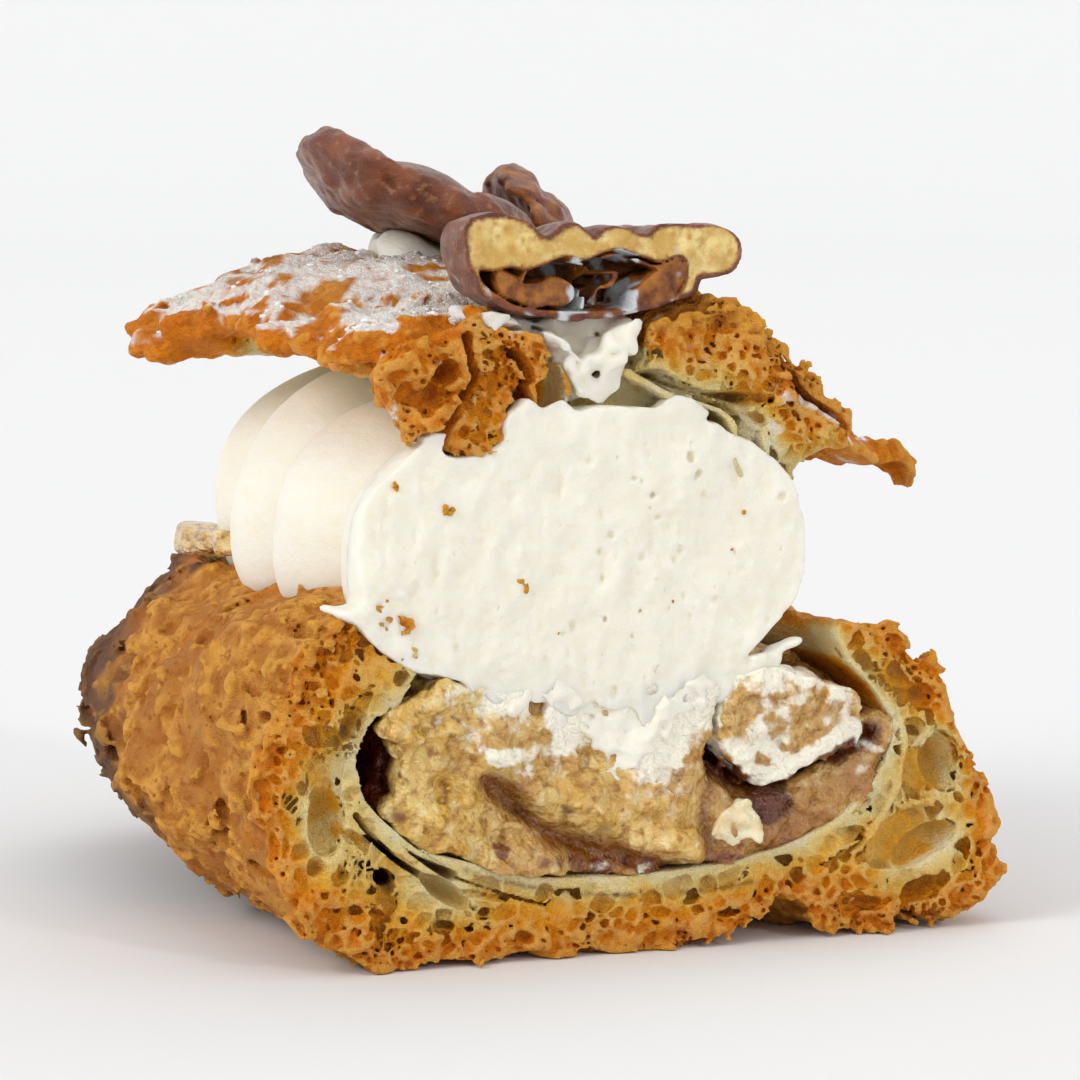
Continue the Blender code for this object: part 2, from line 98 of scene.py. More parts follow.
def plug(tree, socket, value):
    """Feeds a socket with another socket, a colour or a number."""
    if isinstance(value, bpy.types.NodeSocket):
        tree.links.new(value, socket)
    elif isinstance(value, tuple) and len(value) == 3 and socket.type == "RGBA":
        socket.default_value = (*value, 1.0)
    else:
        socket.default_value = value


def add_node(tree, kind, given=None, **settings):
    """A shader node with these settings; given holds what feeds its inputs."""
    node = tree.nodes.new("ShaderNode" + kind)
    for name, value in settings.items():
        setattr(node, name, value)
    for label, value in (given or {}).items():
        plug(tree, node.inputs[label], value)
    return node


# %% A pale sweep of card for the table and the backdrop
CARD, WALL_GLOW = (0.825, 0.83, 0.84), 0.012
GLOW_FROM, GLOW_TO = 0.8, 4.0  # metres behind the eclair


def make_sweep():
    """A floor that curls up into a wall far behind the eclair."""
    width, front, back, curl, top = 9.0, -6.0, 6.0, 2.5, 7.0
    turns = [0.5 * math.pi * i / 24 for i in range(25)]
    profile = [(front, 0.0), (back - curl, 0.0)]
    profile += [(back - curl + curl * math.sin(t), curl - curl * math.cos(t)) for t in turns[1:]]
    profile.append((back, top))
    points = [(side * width, y, z) for y, z in profile for side in (-1, 1)]
    faces = [(2 * i, 2 * i + 1, 2 * i + 3, 2 * i + 2) for i in range(len(profile) - 1)]
    mesh = bpy.data.meshes.new("sweep")
    mesh.from_pydata(points, [], faces)
    mesh.shade_smooth()
    mesh.materials.append(make_card())
    sweep = new_object("sweep", mesh)
    sweep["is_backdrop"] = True


def make_card():
    """Matt card. The wall gets a little light of its own, so that it meets the floor with no line."""
    card = bpy.data.materials.new("pale_card")
    card.use_nodes = True
    tree = card.node_tree
    where = add_node(tree, "TexCoord")
    parts = add_node(tree, "SeparateXYZ", {0: where.outputs["Object"]})
    measures = {"Value": parts.outputs["Y"], "From Min": GLOW_FROM, "From Max": GLOW_TO, "To Max": WALL_GLOW}
    glow = add_node(tree, "MapRange", measures, interpolation_type="SMOOTHSTEP")
    finish = tree.nodes["Principled BSDF"]
    for label, value in (
        ("Base Color", CARD),
        ("Roughness", 0.7),
        ("Specular IOR Level", 0.0),
        ("Emission Color", glow.outputs[0]),
        ("Emission Strength", 1.0),
    ):
        plug(tree, finish.inputs[label], value)
    return card


make_sweep()


# %% Lights
def add_soft_light(name, place, strength, spread, colour=(1, 1, 1)):
    """A broad far light that shines from this direction; spread is its width in degrees."""
    light = bpy.data.lights.new(name, "SUN")
    light.energy = strength
    light.angle = math.radians(spread)
    light.color = colour
    lamp = new_object(name, light)
    lamp.location = place
    lamp.rotation_euler = Vector(place).to_track_quat("Z", "Y").to_euler()


add_soft_light("key_behind_right", (0.30, 0.30, 0.42), 0.6, 50, (1.0, 0.985, 0.96))
add_soft_light("fill_left", (-0.75, -0.2, 0.5), 1.1, 30, (1.0, 0.99, 0.97))
add_soft_light("glint_front_right", (0.30, -0.85, 0.42), 0.45, 6)
world = bpy.data.worlds.new("light_tent")
world.use_nodes = True
world.node_tree.nodes["Background"].inputs["Color"].default_value = (1.0, 0.995, 0.99, 1)
world.node_tree.nodes["Background"].inputs["Strength"].default_value = 0.76
bpy.context.scene.world = world
bpy.context.scene.view_settings.view_transform = "Standard"

# %% Camera, low and a little to the left of the knife's face
CAMERA_TURN, CAMERA_LIFT = math.radians(22), math.radians(5)
CAMERA_REACH, CAMERA_SCALE = 220, 17  # mm from the lens to LOOK_AT, and how large 1 mm looks there
SENSOR_WIDTH, FRAME_WIDTH = 36, 1080
LOOK_AT = np.array((-7.17, FACE, 25.17))


def make_camera():
    turn, lift = CAMERA_TURN, CAMERA_LIFT
    ahead = Vector((math.sin(turn) * math.cos(lift), math.cos(turn) * math.cos(lift), -math.sin(lift)))
    data = bpy.data.cameras.new("camera")
    data.sensor_width = SENSOR_WIDTH
    data.lens = SENSOR_WIDTH * CAMERA_SCALE * CAMERA_REACH / FRAME_WIDTH
    data.clip_start = 0.01
    camera = new_object("camera", data)
    camera.location = (Vector(LOOK_AT) - CAMERA_REACH * ahead) * MM
    camera.rotation_euler = ahead.to_track_quat("-Z", "Y").to_euler()
    bpy.context.scene.camera = camera


make_camera()

# %% [markdown]
# ## Clay: blocks of distances
# Crumb is full of holes and overhangs, which are hard to reach by pushing the points of a mesh about.
# Here a piece is held as a block of small cells, and each cell keeps its distance to the surface:
# below zero is food and above zero is air. Joining is then a minimum, cutting is a maximum, and
# adding a noise to the distances roughens the surface. OpenVDB, which comes with Blender, turns a
# mesh into such a block and back.


# %% A block of clay
class Block:
    """A box of cells for the distances of one piece. All of its measures are in millimetres."""

    def __init__(self, low, high, step):
        self.step = step
        self.first = np.floor(np.array(low) / step).astype(int)
        self.count = np.ceil(np.array(high) / step).astype(int) - self.first + 1
        self.axes = [(self.first[i] + np.arange(self.count[i])) * step for i in range(3)]
        sparse = np.meshgrid(*self.axes, indexing="ij", sparse=True)
        self.x, self.y, self.z = (axis.astype(np.float32) for axis in sparse)

    def full(self, value):
        return np.full(self.count, value, np.float32)


def point_values(mesh, name):
    """A vector for each point of a mesh: its place (co) or its normal."""
    values = np.empty(len(mesh.vertices) * 3, np.float32)
    mesh.vertices.foreach_get(name, values)
    return values.reshape(-1, 3)


def triangles_of(obj, run_on=0.0):
    """Points in millimetres and triangles of an object. run_on carries the cut face on past the knife."""
    mesh = obj.data
    mesh.calc_loop_triangles()
    triangles = np.empty(len(mesh.loop_triangles) * 3, np.int32)
    mesh.loop_triangles.foreach_get("vertices", triangles)
    points = np.round(point_values(mesh, "co") / MM, 4)
    points, index = np.unique(points, axis=0, return_inverse=True)
    triangles = index.reshape(-1)[triangles.reshape(-1, 3)]
    # The flat cap at the knife is moved forwards, and a wall is stitched between its old and new rim.
    at_knife = points[:, 1] < FACE + 0.02
    cap = at_knife[triangles].all(axis=1)
    if not run_on or not cap.any():
        return points, triangles
    edges = triangles[cap][:, [0, 1, 1, 2, 2, 0]].reshape(-1, 2)
    seen = set(map(tuple, edges))
    rim = np.array([edge for edge in seen if edge[::-1] not in seen])
    moved = points - np.array((0, run_on, 0)) * at_knife[:, None]
    ahead = len(points)
    triangles = triangles.copy()
    triangles[cap] += ahead
    a, b = rim[:, 0], rim[:, 1]
    wall = np.concatenate([np.stack([a, b, b + ahead], 1), np.stack([a, b + ahead, a + ahead], 1)])
    return np.concatenate([points, moved]), np.concatenate([triangles, wall])


def distances(block, points, triangles, reach):
    """The distance of each cell from a closed mesh, as far as reach."""
    place = vdb.createLinearTransform(voxelSize=block.step)
    grid = vdb.FloatGrid.createLevelSetFromPolygons(
        points.astype(np.float32),
        triangles=triangles.astype(np.uint32),
        transform=place,
        halfWidth=reach / block.step,
    )
    field = block.full(reach)
    grid.copyToArray(field, ijk=tuple(int(i) for i in block.first))
    return field


def node_distances(block, node, reach, run_on=0.0):
    return distances(block, *triangles_of(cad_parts[node], run_on), reach)


def surface_of(block, field):
    """Points in millimetres and four-sided faces of the surface in a block."""
    grid = vdb.FloatGrid()
    grid.transform = vdb.createLinearTransform(voxelSize=block.step)
    closed = np.pad(field, 1, constant_values=block.step)
    grid.copyFromArray(closed, ijk=tuple(int(i) - 1 for i in block.first))
    return grid.convertToQuads(isovalue=0.0)


# %% Smoothing and noise
def blurred(field, radius, step):
    """Each pass mixes a cell with its neighbours; together they blur by this radius in mm."""
    passes = max(1, round(2 * (radius / step) ** 2))
    for _ in range(passes):
        for axis in range(3):
            one = np.concatenate([field.take([0], axis), field, field.take([-1], axis)], axis)
            n = field.shape[axis]
            near = one.take(range(n), axis)
            far = one.take(range(2, n + 2), axis)
            field = 0.25 * near + 0.5 * field + 0.25 * far
    return field


LATTICE = 48


def spline_matrix(coords, size):
    """Weights that carry random numbers a lump apart to each coordinate, smoothly."""
    t = coords / size
    i = np.floor(t).astype(int)
    f = t - i
    weights = ((1 - f) ** 3, 3 * f**3 - 6 * f**2 + 4, -3 * f**3 + 3 * f**2 + 3 * f + 1, f**3)
    matrix = np.zeros((len(coords), LATTICE), np.float32)
    rows = np.arange(len(coords))
    for k, weight in enumerate(weights):
        np.add.at(matrix, (rows, (i + k - 1) % LATTICE), weight / 6)
    return matrix


def carry(field, matrices):
    """Applies one matrix along each axis."""
    for matrix in matrices:
        field = np.tensordot(field, matrix, axes=(0, 1))
    return field


def lumps(block, size, seed):
    """Smooth noise with lumps of this size in mm. Most of it lies between -2 and 2."""
    size = np.broadcast_to(size, 3)
    lattice = np.random.default_rng(seed).random((LATTICE,) * 3, np.float32) * 2 - 1
    matrices = [spline_matrix(block.axes[i], size[i]) for i in range(3)]
    return carry(lattice, matrices) * 5.2


def linear_matrix(coords, block, axis):
    """Weights that read a block's cells at each coordinate."""
    t = np.clip(coords / block.step - block.first[axis], 0, block.count[axis] - 1.001)
    i = t.astype(int)
    matrix = np.zeros((len(coords), block.count[axis]), np.float32)
    rows = np.arange(len(coords))
    matrix[rows, i] = 1 - (t - i)
    matrix[rows, i + 1] = t - i
    return matrix


def moved_to(block, field, source):
    """A field of another block, read at this block's cells."""
    return carry(field, [linear_matrix(block.axes[i], source, i) for i in range(3)])


def read(block, field, points):
    """A field's value at each point in mm."""
    t = points / block.step - block.first
    t = np.clip(t, 0, np.array(field.shape) - 1.001)
    i = t.astype(int)
    f = (t - i).astype(np.float32)
    total = np.zeros(len(points), np.float32)
    for corner in range(8):
        step = np.array([(corner >> k) & 1 for k in range(3)])
        weight = np.prod(np.where(step, f, 1 - f), axis=1)
        cell = i + step
        total += weight * field[cell[:, 0], cell[:, 1], cell[:, 2]]
    return total


def ease(t):
    t = np.clip(t, 0, 1)
    return t * t * (3 - 2 * t)


def ball(block, centre, radii, tilt=0.0):
    """Distance, near enough, from an ellipsoid that may lean over in the plane of the face."""
    dx, dy, dz = block.x - centre[0], block.y - centre[1], block.z - centre[2]
    c, s = math.cos(tilt), math.sin(tilt)
    u, w = c * dx - s * dz, s * dx + c * dz
    reach = np.sqrt((u / radii[0]) ** 2 + (dy / radii[1]) ** 2 + (w / radii[2]) ** 2)
    return (reach - 1) * min(radii)


def cells_near(block, centre, span):
    """The part of a block within span of a centre, and how far its cells are from it along each axis."""
    low = np.floor((centre - span) / block.step).astype(int) - block.first
    high = np.ceil((centre + span) / block.step).astype(int) - block.first + 1
    low, high = np.maximum(low, 0), np.minimum(high, block.count)
    if (low >= high).any():
        return None, None
    part = tuple(slice(a, b) for a, b in zip(low, high))
    x, y, z = (block.axes[k][part[k]] - centre[k] for k in range(3))
    return part, (x[:, None, None], y[None, :, None], z[None, None, :])


# %% Foam: bubbles that press against each other and leave thin walls between them
FAR = 9.0


def foam(block, bubbles, wall, bend):
    """Distance from the air in a crowd of bubbles. Where two would meet, a wall stays between them.

    A bubble is its centre, its radius, how many times longer it is than wide, and the way it leans
    in the plane of the face. bend holds two fields that push the walls about, so none is round.
    """
    nearest, second = block.full(FAR), block.full(FAR)
    thickest = float(np.max(wall))
    for centre, radius, longer, lean in bubbles:
        span = radius * longer + 2.5 * block.step + thickest + 0.25
        part, offsets = cells_near(block, centre, span)
        if part is None:
            continue
        x, y, z = offsets
        x, z = x + bend[0][part], z + bend[1][part]
        c, s = math.cos(lean), math.sin(lean)
        gap = np.sqrt(((c * x + s * z) / longer) ** 2 + y**2 + (c * z - s * x) ** 2)
        gap = (gap - radius).astype(np.float32)
        was = nearest[part]
        second[part] = np.minimum(second[part], np.maximum(was, gap))
        nearest[part] = np.minimum(was, gap)
    return np.maximum(nearest, 0.5 * wall - 0.5 * (second - nearest))


def wall_bend(block, seed):
    """Two fields that push the walls of a foam about, along x and along z."""
    return [0.13 * lumps(block, 1.1, seed + k) + 0.07 * lumps(block, 0.5, seed + 10 + k) for k in range(2)]


DRAWS_PER_BUBBLE = 30
CROWD_CELL, CLOSENESS = 1.6, 0.8


def spots_between(low, high, draws, y):
    """Places that random draws pick between two corners, with y given."""
    x, z = (low[k] + draws[:, k] * (high[k] - low[k]) for k in (0, 2))
    return np.stack([x, y, z], axis=1)


def packed_bubbles(spots, sizes, count):
    """Keeps the larger bubbles first, and drops each that would lie too far inside another."""
    crowd, kept = {}, []
    for n in np.argsort(-sizes):
        spot, size = spots[n], float(sizes[n])
        cell = tuple((spot // CROWD_CELL).astype(int))
        near = [
            other
            for i in (-1, 0, 1)
            for j in (-1, 0, 1)
            for k in (-1, 0, 1)
            for other in crowd.get((cell[0] + i, cell[1] + j, cell[2] + k), ())
        ]
        if any(math.dist(spot, c) < CLOSENESS * (size + r) for c, r in near):
            continue
        crowd.setdefault(cell, []).append((tuple(spot), size))
        kept.append(n)
        if len(kept) == count:
            break
    return kept


# %% From a block back to a mesh
def connected(count, edges):
    """A number for each point, the same for all points of one body."""
    label = np.arange(count)
    while True:
        low = np.minimum(label[edges[:, 0]], label[edges[:, 1]])
        new = label.copy()
        np.minimum.at(new, edges[:, 0], low)
        np.minimum.at(new, edges[:, 1], low)
        new = new[new]
        if (new == label).all():
            return label
        label = new


def mesh_from(block, field, name, most_faces):
    """The surface of a block as an object of at most so many triangles, without loose scraps."""
    points, quads = surface_of(block, field)
    label = connected(len(points), quads[:, [0, 1, 1, 2, 2, 3]].reshape(-1, 2).astype(int))
    bodies, sizes = np.unique(label, return_counts=True)
    largest = bodies[np.argsort(-sizes)[:1]]
    quads = quads[np.isin(label[quads[:, 0]], largest)]
    used, index = np.unique(quads, return_inverse=True)
    points, quads = points[used], index.reshape(-1, 4)
    mesh = bpy.data.meshes.new(name)
    mesh.vertices.add(len(points))
    mesh.vertices.foreach_set("co", (points * MM).astype(np.float32).ravel())
    mesh.loops.add(len(quads) * 4)
    mesh.loops.foreach_set("vertex_index", quads.astype(np.int32).ravel())
    mesh.polygons.add(len(quads))
    mesh.polygons.foreach_set("loop_start", np.arange(0, len(quads) * 4, 4, dtype=np.int32))
    mesh.update(calc_edges=True)
    obj = new_object(name, mesh)
    if 2 * len(quads) > most_faces:
        thin_out(obj, most_faces / (2 * len(quads)))
    obj.data.shade_smooth()
    print(f"{name}: {len(quads) * 2} triangles cut to {sum(len(p.vertices) - 2 for p in obj.data.polygons)}")
    return obj


def thin_out(obj, ratio):
    """Merges small faces where the surface is even."""
    modifier = obj.modifiers.new("thin", "DECIMATE")
    modifier.ratio = ratio
    graph = bpy.context.evaluated_depsgraph_get()
    mesh = bpy.data.meshes.new_from_object(obj.evaluated_get(graph))
    obj.modifiers.clear()
    old = obj.data
    obj.data = mesh
    bpy.data.meshes.remove(old)
    mesh.name = obj.name


def places_of(obj):
    """Every point of an object, in mm."""
    return point_values(obj.data, "co") / MM


def paint(obj, name, values):
    """Stores a number at each point, or one number at all of them, for the materials to read."""
    layer = obj.data.attributes.new(name, "FLOAT", "POINT")
    values = np.broadcast_to(values, len(obj.data.vertices))
    layer.data.foreach_set("value", np.ascontiguousarray(values, np.float32))


# %% [markdown]
# ## Finishes
# Every finish here is food: a little light goes in and comes out again, wet parts have a clear coat,
# and no colour is even. The sculpted pieces carry numbers at their points, such as how proud of its
# surroundings a spot stands, and the materials read them. Three effects are shared by most
# materials, so each is a node group: grain for the bump, patches for uneven colour, and a mask for
# pits and cracks.


# %% Shared node groups
def new_group(name, inputs, output):
    """An empty node group with float inputs of these defaults and one float output."""
    group = bpy.data.node_groups.new(name, "ShaderNodeTree")
    for label, value in inputs.items():
        socket = group.interface.new_socket(label, in_out="INPUT", socket_type="NodeSocketFloat")
        socket.default_value = value
    group.interface.new_socket(output, in_out="OUTPUT", socket_type="NodeSocketFloat")
    return group, group.nodes.new("NodeGroupInput"), group.nodes.new("NodeGroupOutput")


PER_METRE = 1000.0
ALONG_THE_LOAF = (1, 0.5, 1)
FINE_SIZE = 0.27  # size of the fine grain, as a share of the coarse
PATCH_RANGE = 0.72, 0.28  # noise above which patches lie, for a cover of 0 and of 1


def noise_in_mm(group, size, detail):
    """Noise with lumps of a size in millimetres, twice as long along the loaf."""
    where = add_node(group, "TexCoord").outputs["Object"]
    longer = add_node(group, "VectorMath", {0: where, 1: ALONG_THE_LOAF}, operation="MULTIPLY")
    scale = add_node(group, "Math", {0: PER_METRE, 1: size}, operation="DIVIDE")
    feeds = {"Vector": longer.outputs[0], "Scale": scale.outputs[0], "Detail": detail}
    return add_node(group, "TexNoise", feeds).outputs["Fac"]


def make_grain():
    """Height of a rough surface: two sizes of grain, the fine one a given share of the coarse."""
    group, given, result = new_group("grain", {"Size": 0.5, "Fine share": 0.4}, "Height")
    coarse = noise_in_mm(group, given.outputs["Size"], 3)
    smaller = add_node(group, "Math", {0: given.outputs["Size"], 1: FINE_SIZE}, operation="MULTIPLY")
    feeds = {0: noise_in_mm(group, smaller.outputs[0], 2), 1: given.outputs["Fine share"], 2: coarse}
    both = add_node(group, "Math", feeds, operation="MULTIPLY_ADD")
    plug(group, result.inputs["Height"], both.outputs[0])
    return group


def soft_step(group, value, low, high):
    """0 below low, 1 above high, and smooth between them."""
    feeds = {"Value": value, "From Min": low, "From Max": high}
    return add_node(group, "MapRange", feeds, interpolation_type="SMOOTHSTEP").outputs[0]


def make_patches():
    """A mask of soft patches: 1 inside them. Cover says how much of the surface they take."""
    group, given, result = new_group("patches", {"Size": 3.0, "Cover": 0.5, "Edge": 0.1}, "Mask")
    noise = noise_in_mm(group, given.outputs["Size"], 4)
    feeds = {"To Min": PATCH_RANGE[0], "To Max": PATCH_RANGE[1], "Value": given.outputs["Cover"]}
    middle = add_node(group, "MapRange", feeds).outputs[0]
    low, high = (
        add_node(group, "Math", {0: middle, 1: given.outputs["Edge"]}, operation=way).outputs[0]
        for way in ("SUBTRACT", "ADD")
    )
    plug(group, result.inputs["Mask"], soft_step(group, noise, low, high))
    return group


# Most finishes paint shade where this mask is 1; the choux also paints a glow in its shallow pits.
def make_pits():
    """A mask from the sculpt: 1 in pits and cracks that lie this deep in mm, 0 on what stands out."""
    group, given, result = new_group("pits", {"Depth": 0.15, "Start": 0.0}, "Mask")
    depth, start = given.outputs["Depth"], given.outputs["Start"]
    proud = add_node(group, "Attribute", attribute_name="proud").outputs["Fac"]
    down = add_node(group, "Math", {0: proud, 1: -1.0}, operation="MULTIPLY").outputs[0]
    sunk = add_node(group, "Math", {0: depth, 1: start}, operation="ADD").outputs[0]
    plug(group, result.inputs["Mask"], soft_step(group, down, start, sunk))
    return group


GROUPS = {"grain": make_grain(), "patches": make_patches(), "pits": make_pits()}
print("node groups:", ", ".join(GROUPS))


# %% A short way to write a material
WET_COAT_ROUGHNESS = 0.18


class Finish:
    """A material with a Principled shader, and short calls for the nodes that food needs."""

    def __init__(self, name, subsurface, reach_mm, roughness=0.6, coat=0.0):
        self.material = bpy.data.materials.new(name)
        self.material.use_nodes = True
        self.tree = self.material.node_tree
        self.shader = self.tree.nodes["Principled BSDF"]
        self.set(Roughness=roughness)
        self.set(Subsurface_Weight=subsurface, Subsurface_Radius=reach_mm, Subsurface_Scale=MM)
        if coat:
            self.set(Coat_Weight=coat, Coat_Roughness=WET_COAT_ROUGHNESS)

    def set(self, **values):
        """Sets or links shader sockets; an underscore in a name stands for a space."""
        for label, value in values.items():
            plug(self.tree, self.shader.inputs[label.replace("_", " ")], value)

    def group(self, name, **values):
        feeds = {label.replace("_", " "): value for label, value in values.items()}
        return add_node(self.tree, "Group", feeds, node_tree=GROUPS[name]).outputs[0]

    def value(self, name):
        """The number that the sculpt stored under this name."""
        return add_node(self.tree, "Attribute", attribute_name=name).outputs["Fac"]

    def math(self, operation, a, b=0.0, c=0.0):
        return add_node(self.tree, "Math", {0: a, 1: b, 2: c}, operation=operation).outputs[0]

    def ramp(self, factor, stops):
        """A colour for each value: stops are (place, colour)."""
        node = add_node(self.tree, "ValToRGB", {"Fac": factor})
        marks = node.color_ramp.elements
        while len(marks) < len(stops):
            marks.new(0.5)
        for mark, (place, colour) in zip(marks, stops):
            mark.position = place
            mark.color = (*colour, 1.0)
        return node.outputs["Color"]

    def mix(self, factor, a, b):
        node = add_node(self.tree, "Mix", data_type="RGBA")
        sockets = {socket.identifier: socket for socket in node.inputs}
        for name, value in (("Factor_Float", factor), ("A_Color", a), ("B_Color", b)):
            plug(self.tree, sockets[name], value)
        return next(out for out in node.outputs if out.identifier == "Result_Color")

    def patchy(self, a, b, size, cover=0.5, edge=0.1):
        """Colour a, with patches of colour b that are this many mm wide."""
        return self.mix(self.group("patches", Size=size, Cover=cover, Edge=edge), a, b)

    def tinted(self, colour, tint, mask, share):
        """A colour with this share of a tint laid over it where the mask is 1."""
        return self.mix(self.math("MULTIPLY", mask, share), colour, tint)

    def span(self, factor, low, high):
        """Maps 0..1 to low..high."""
        return add_node(self.tree, "MapRange", {"To Min": low, "To Max": high, "Value": factor}).outputs[0]

    def bump(self, height, deep_mm, strength=1.0):
        feeds = {"Strength": strength, "Distance": deep_mm * MM, "Height": height}
        normal = add_node(self.tree, "Bump", feeds).outputs["Normal"]
        self.set(Normal=normal, Coat_Normal=normal)


# %% [markdown]
# ## Baked choux
# One finish serves the shell and the lid. Near the hollow the crumb is a pale, shiny skin; further
# out it turns golden, then orange brown, and the crust is a duller, sandier brown. Pits and cracks are
# painted darker and redder as shade, shallow pits and the large holes orange as a painted glow, and
# thin raised edges lighter as a painted highlight.


# %% The choux finish
def make_choux():
    choux = Finish("baked_choux", subsurface=0.2, reach_mm=(0.7, 0.3, 0.08))
    choux.set(Specular_IOR_Level=0.2)
    baked = choux.value("bake_and_glow")
    wander = choux.math("MULTIPLY_ADD", choux.group("patches", Size=2.2, Cover=0.5, Edge=0.22), 0.2, -0.1)
    crumb = choux.ramp(
        choux.math("ADD", baked, wander),
        (
            (0.0, (0.98, 0.87, 0.58)),
            (0.15, (0.95, 0.74, 0.30)),
            (0.34, (0.92, 0.50, 0.055)),
            (0.55, (0.90, 0.34, 0.008)),
            (0.80, (0.82, 0.25, 0.005)),
            (1.0, (0.68, 0.20, 0.008)),
        ),
    )
    sponge = choux.math("MULTIPLY", choux.group("patches", Size=0.34, Cover=0.45, Edge=0.1), baked)
    crumb = choux.tinted(crumb, (0.50, 0.115, 0.004), sponge, 0.55)
    sand = choux.patchy((0.53, 0.195, 0.020), (0.80, 0.375, 0.060), 1.3, 0.5, 0.14)
    sand = choux.patchy(sand, (0.50, 0.185, 0.030), 5.0, 0.4, 0.15)
    sand = choux.patchy(sand, (0.42, 0.125, 0.014), 0.55, 0.25, 0.08)
    sand = choux.patchy(sand, (0.80, 0.36, 0.03), 1.4, 0.1, 0.04)
    colour = choux.mix(choux.value("crust"), crumb, sand)
    # Painted glow: shallow pits take a warm orange colour, standing in for the light that glows inside them.
    glow = choux.mix(baked, (0.78, 0.55, 0.16), (0.46, 0.125, 0.007))
    colour = choux.tinted(colour, glow, choux.group("pits", Depth=0.12, Start=0.0), 0.7)
    # Painted shade: deeper pits and cracks are darkened and reddened.
    shade = choux.mix(baked, (0.42, 0.20, 0.03), (0.14, 0.03, 0.004))
    colour = choux.tinted(colour, shade, choux.group("pits", Depth=0.25, Start=0.14), 0.75)
    # The far end is darkened grey brown, and the thin slit between two sheets of lining is painted shade.
    colour = choux.mix(choux.value("darkened_and_shade"), colour, (0.105, 0.05, 0.032))
    # Painted shade: deep inside some hollows the crumb is nearly black red.
    colour = choux.mix(choux.value("hollow_shade"), colour, (0.045, 0.007, 0.003))
    # Painted highlight: thin raised edges are lighter, less so on the darkened end.
    edge = choux.ramp(choux.value("proud"), ((0.08, (0, 0, 0)), (0.19, (1, 1, 1))))
    pale = choux.mix(baked, (0.90, 0.74, 0.36), (0.90, 0.45, 0.06))
    colour = choux.tinted(colour, pale, edge, choux.span(choux.value("darkened_and_shade"), 0.6, 0.1))
    dust = choux.span(choux.group("patches", Size=0.4, Cover=0.55, Edge=0.12), 0.65, 1.0)
    colour = choux.tinted(colour, (0.95, 0.92, 0.88), choux.value("sugar"), dust)
    choux.set(Base_Color=colour, Roughness=choux.span(baked, 0.28, 0.74))
    choux.bump(choux.group("grain", Size=0.36, Fine_share=0.7), 0.42)
    return choux.material


CHOUX = make_choux()

# %% [markdown]
# ## Lines drawn at the knife's face
# The knife shows every part of the eclair in one plane, so many forms are easiest to draw there:
# outlines, ridges, slits, stains and lines of painted shade are lists of (x, z) places in millimetres.
# A smooth curve goes through them, and the distance from that curve carves the clay or guides the
# colour, painted shade and glow included.


# %% Curves through places at the face
def curve_through(points, closed, steps=4):
    """More points on a smooth curve through these."""
    p = np.array(points, float)
    n = len(p)
    made = []
    for i in range(n if closed else n - 1):
        if closed:
            a, b, c, d = (p[(i + k - 1) % n] for k in range(4))
        else:
            a, b, c, d = p[max(i - 1, 0)], p[i], p[i + 1], p[min(i + 2, n - 1)]
        for t in np.arange(steps) / steps:
            bend = 2 * a - 5 * b + 4 * c - d + t * (3 * (b - c) + d - a)
            made.append(b + 0.5 * t * (c - a + t * bend))
    if not closed:
        made.append(p[-1])
    return np.array(made)


def far_from_step(x, z, start, end):
    """Distance in the plane of the face from one straight step of a curve."""
    (x0, z0), (dx, dz) = start, end - start
    t = np.clip(((x - x0) * dx + (z - z0) * dz) / (dx * dx + dz * dz + 1e-9), 0, 1)
    return np.hypot(x - x0 - t * dx, z - z0 - t * dz)


def far_from_line(x, z, points):
    """Distance in the plane of the face from an open curve."""
    curve = curve_through(points, False, 3)
    nearest = np.full(np.broadcast_shapes(x.shape, z.shape), 99.0, np.float32)
    for start, end in zip(curve, curve[1:]):
        nearest = np.minimum(nearest, far_from_step(x, z, start, end))
    return nearest


def off_outline(x, z, points):
    """Signed distance in the plane of the face from a smooth closed outline: below 0 is inside."""
    curve = curve_through(points, True)
    nearest = np.full(np.broadcast_shapes(x.shape, z.shape), 99.0, np.float32)
    inside = np.zeros(nearest.shape, bool)
    for start, end in zip(curve, np.roll(curve, -1, axis=0)):
        nearest = np.minimum(nearest, far_from_step(x, z, start, end))
        (x0, z0), (dx, dz) = start, end - start
        if z0 != end[1]:
            inside ^= ((z0 > z) != (end[1] > z)) & (x < dx * (z - z0) / dz + x0)
    return np.where(inside, -nearest, nearest).astype(np.float32)


def bump_along(x, z, points, wide):
    """1 on a curve, falling smoothly to 0 about this far from it."""
    return np.exp(-((far_from_line(x, z, points) / wide) ** 2))


def extruded(block, outline, start, back, soft=0.5):
    """An outline carried from start to back mm behind the face, shrinking a little at its far end."""
    along = block.y - FACE
    section = off_outline(block.x, block.z, outline)
    section = section + soft * ease((along - start) / (back - start))
    return np.maximum(section, np.maximum(start - along, along - back))


def slit(block, points, half_width, depth):
    """Distance from a thin curved gap that follows points at the face and thins out behind it."""
    fade = np.clip((block.y - FACE) / depth, 0, 1) ** 2
    return far_from_line(block.x, block.z, points) - half_width * (1 - 1.5 * fade)


def sheet(block, points, half_thick, start, depth):
    """A thin wall that follows points at the face and runs back from it."""
    wall = far_from_line(block.x, block.z, points) - half_thick
    along = block.y - FACE
    return np.maximum(wall, np.maximum(start - along, along - depth))


def melt(a, b, soft):
    """Joins two pieces with a soft fillet."""
    h = np.clip(0.5 + 0.5 * (b - a) / soft, 0, 1)
    return b + (a - b) * h - soft * h * (1 - h)


def room_for(node, step, grow=1.2):
    """A block around a solid."""
    low, high = box_mm(node)
    return Block(low - grow, high + grow, step)


def softened(block, node, reach, radius, run_on=0.0):
    """Distances from a solid whose edges are blurred by this radius in mm."""
    return blurred(node_distances(block, node, reach, run_on), radius, block.step)


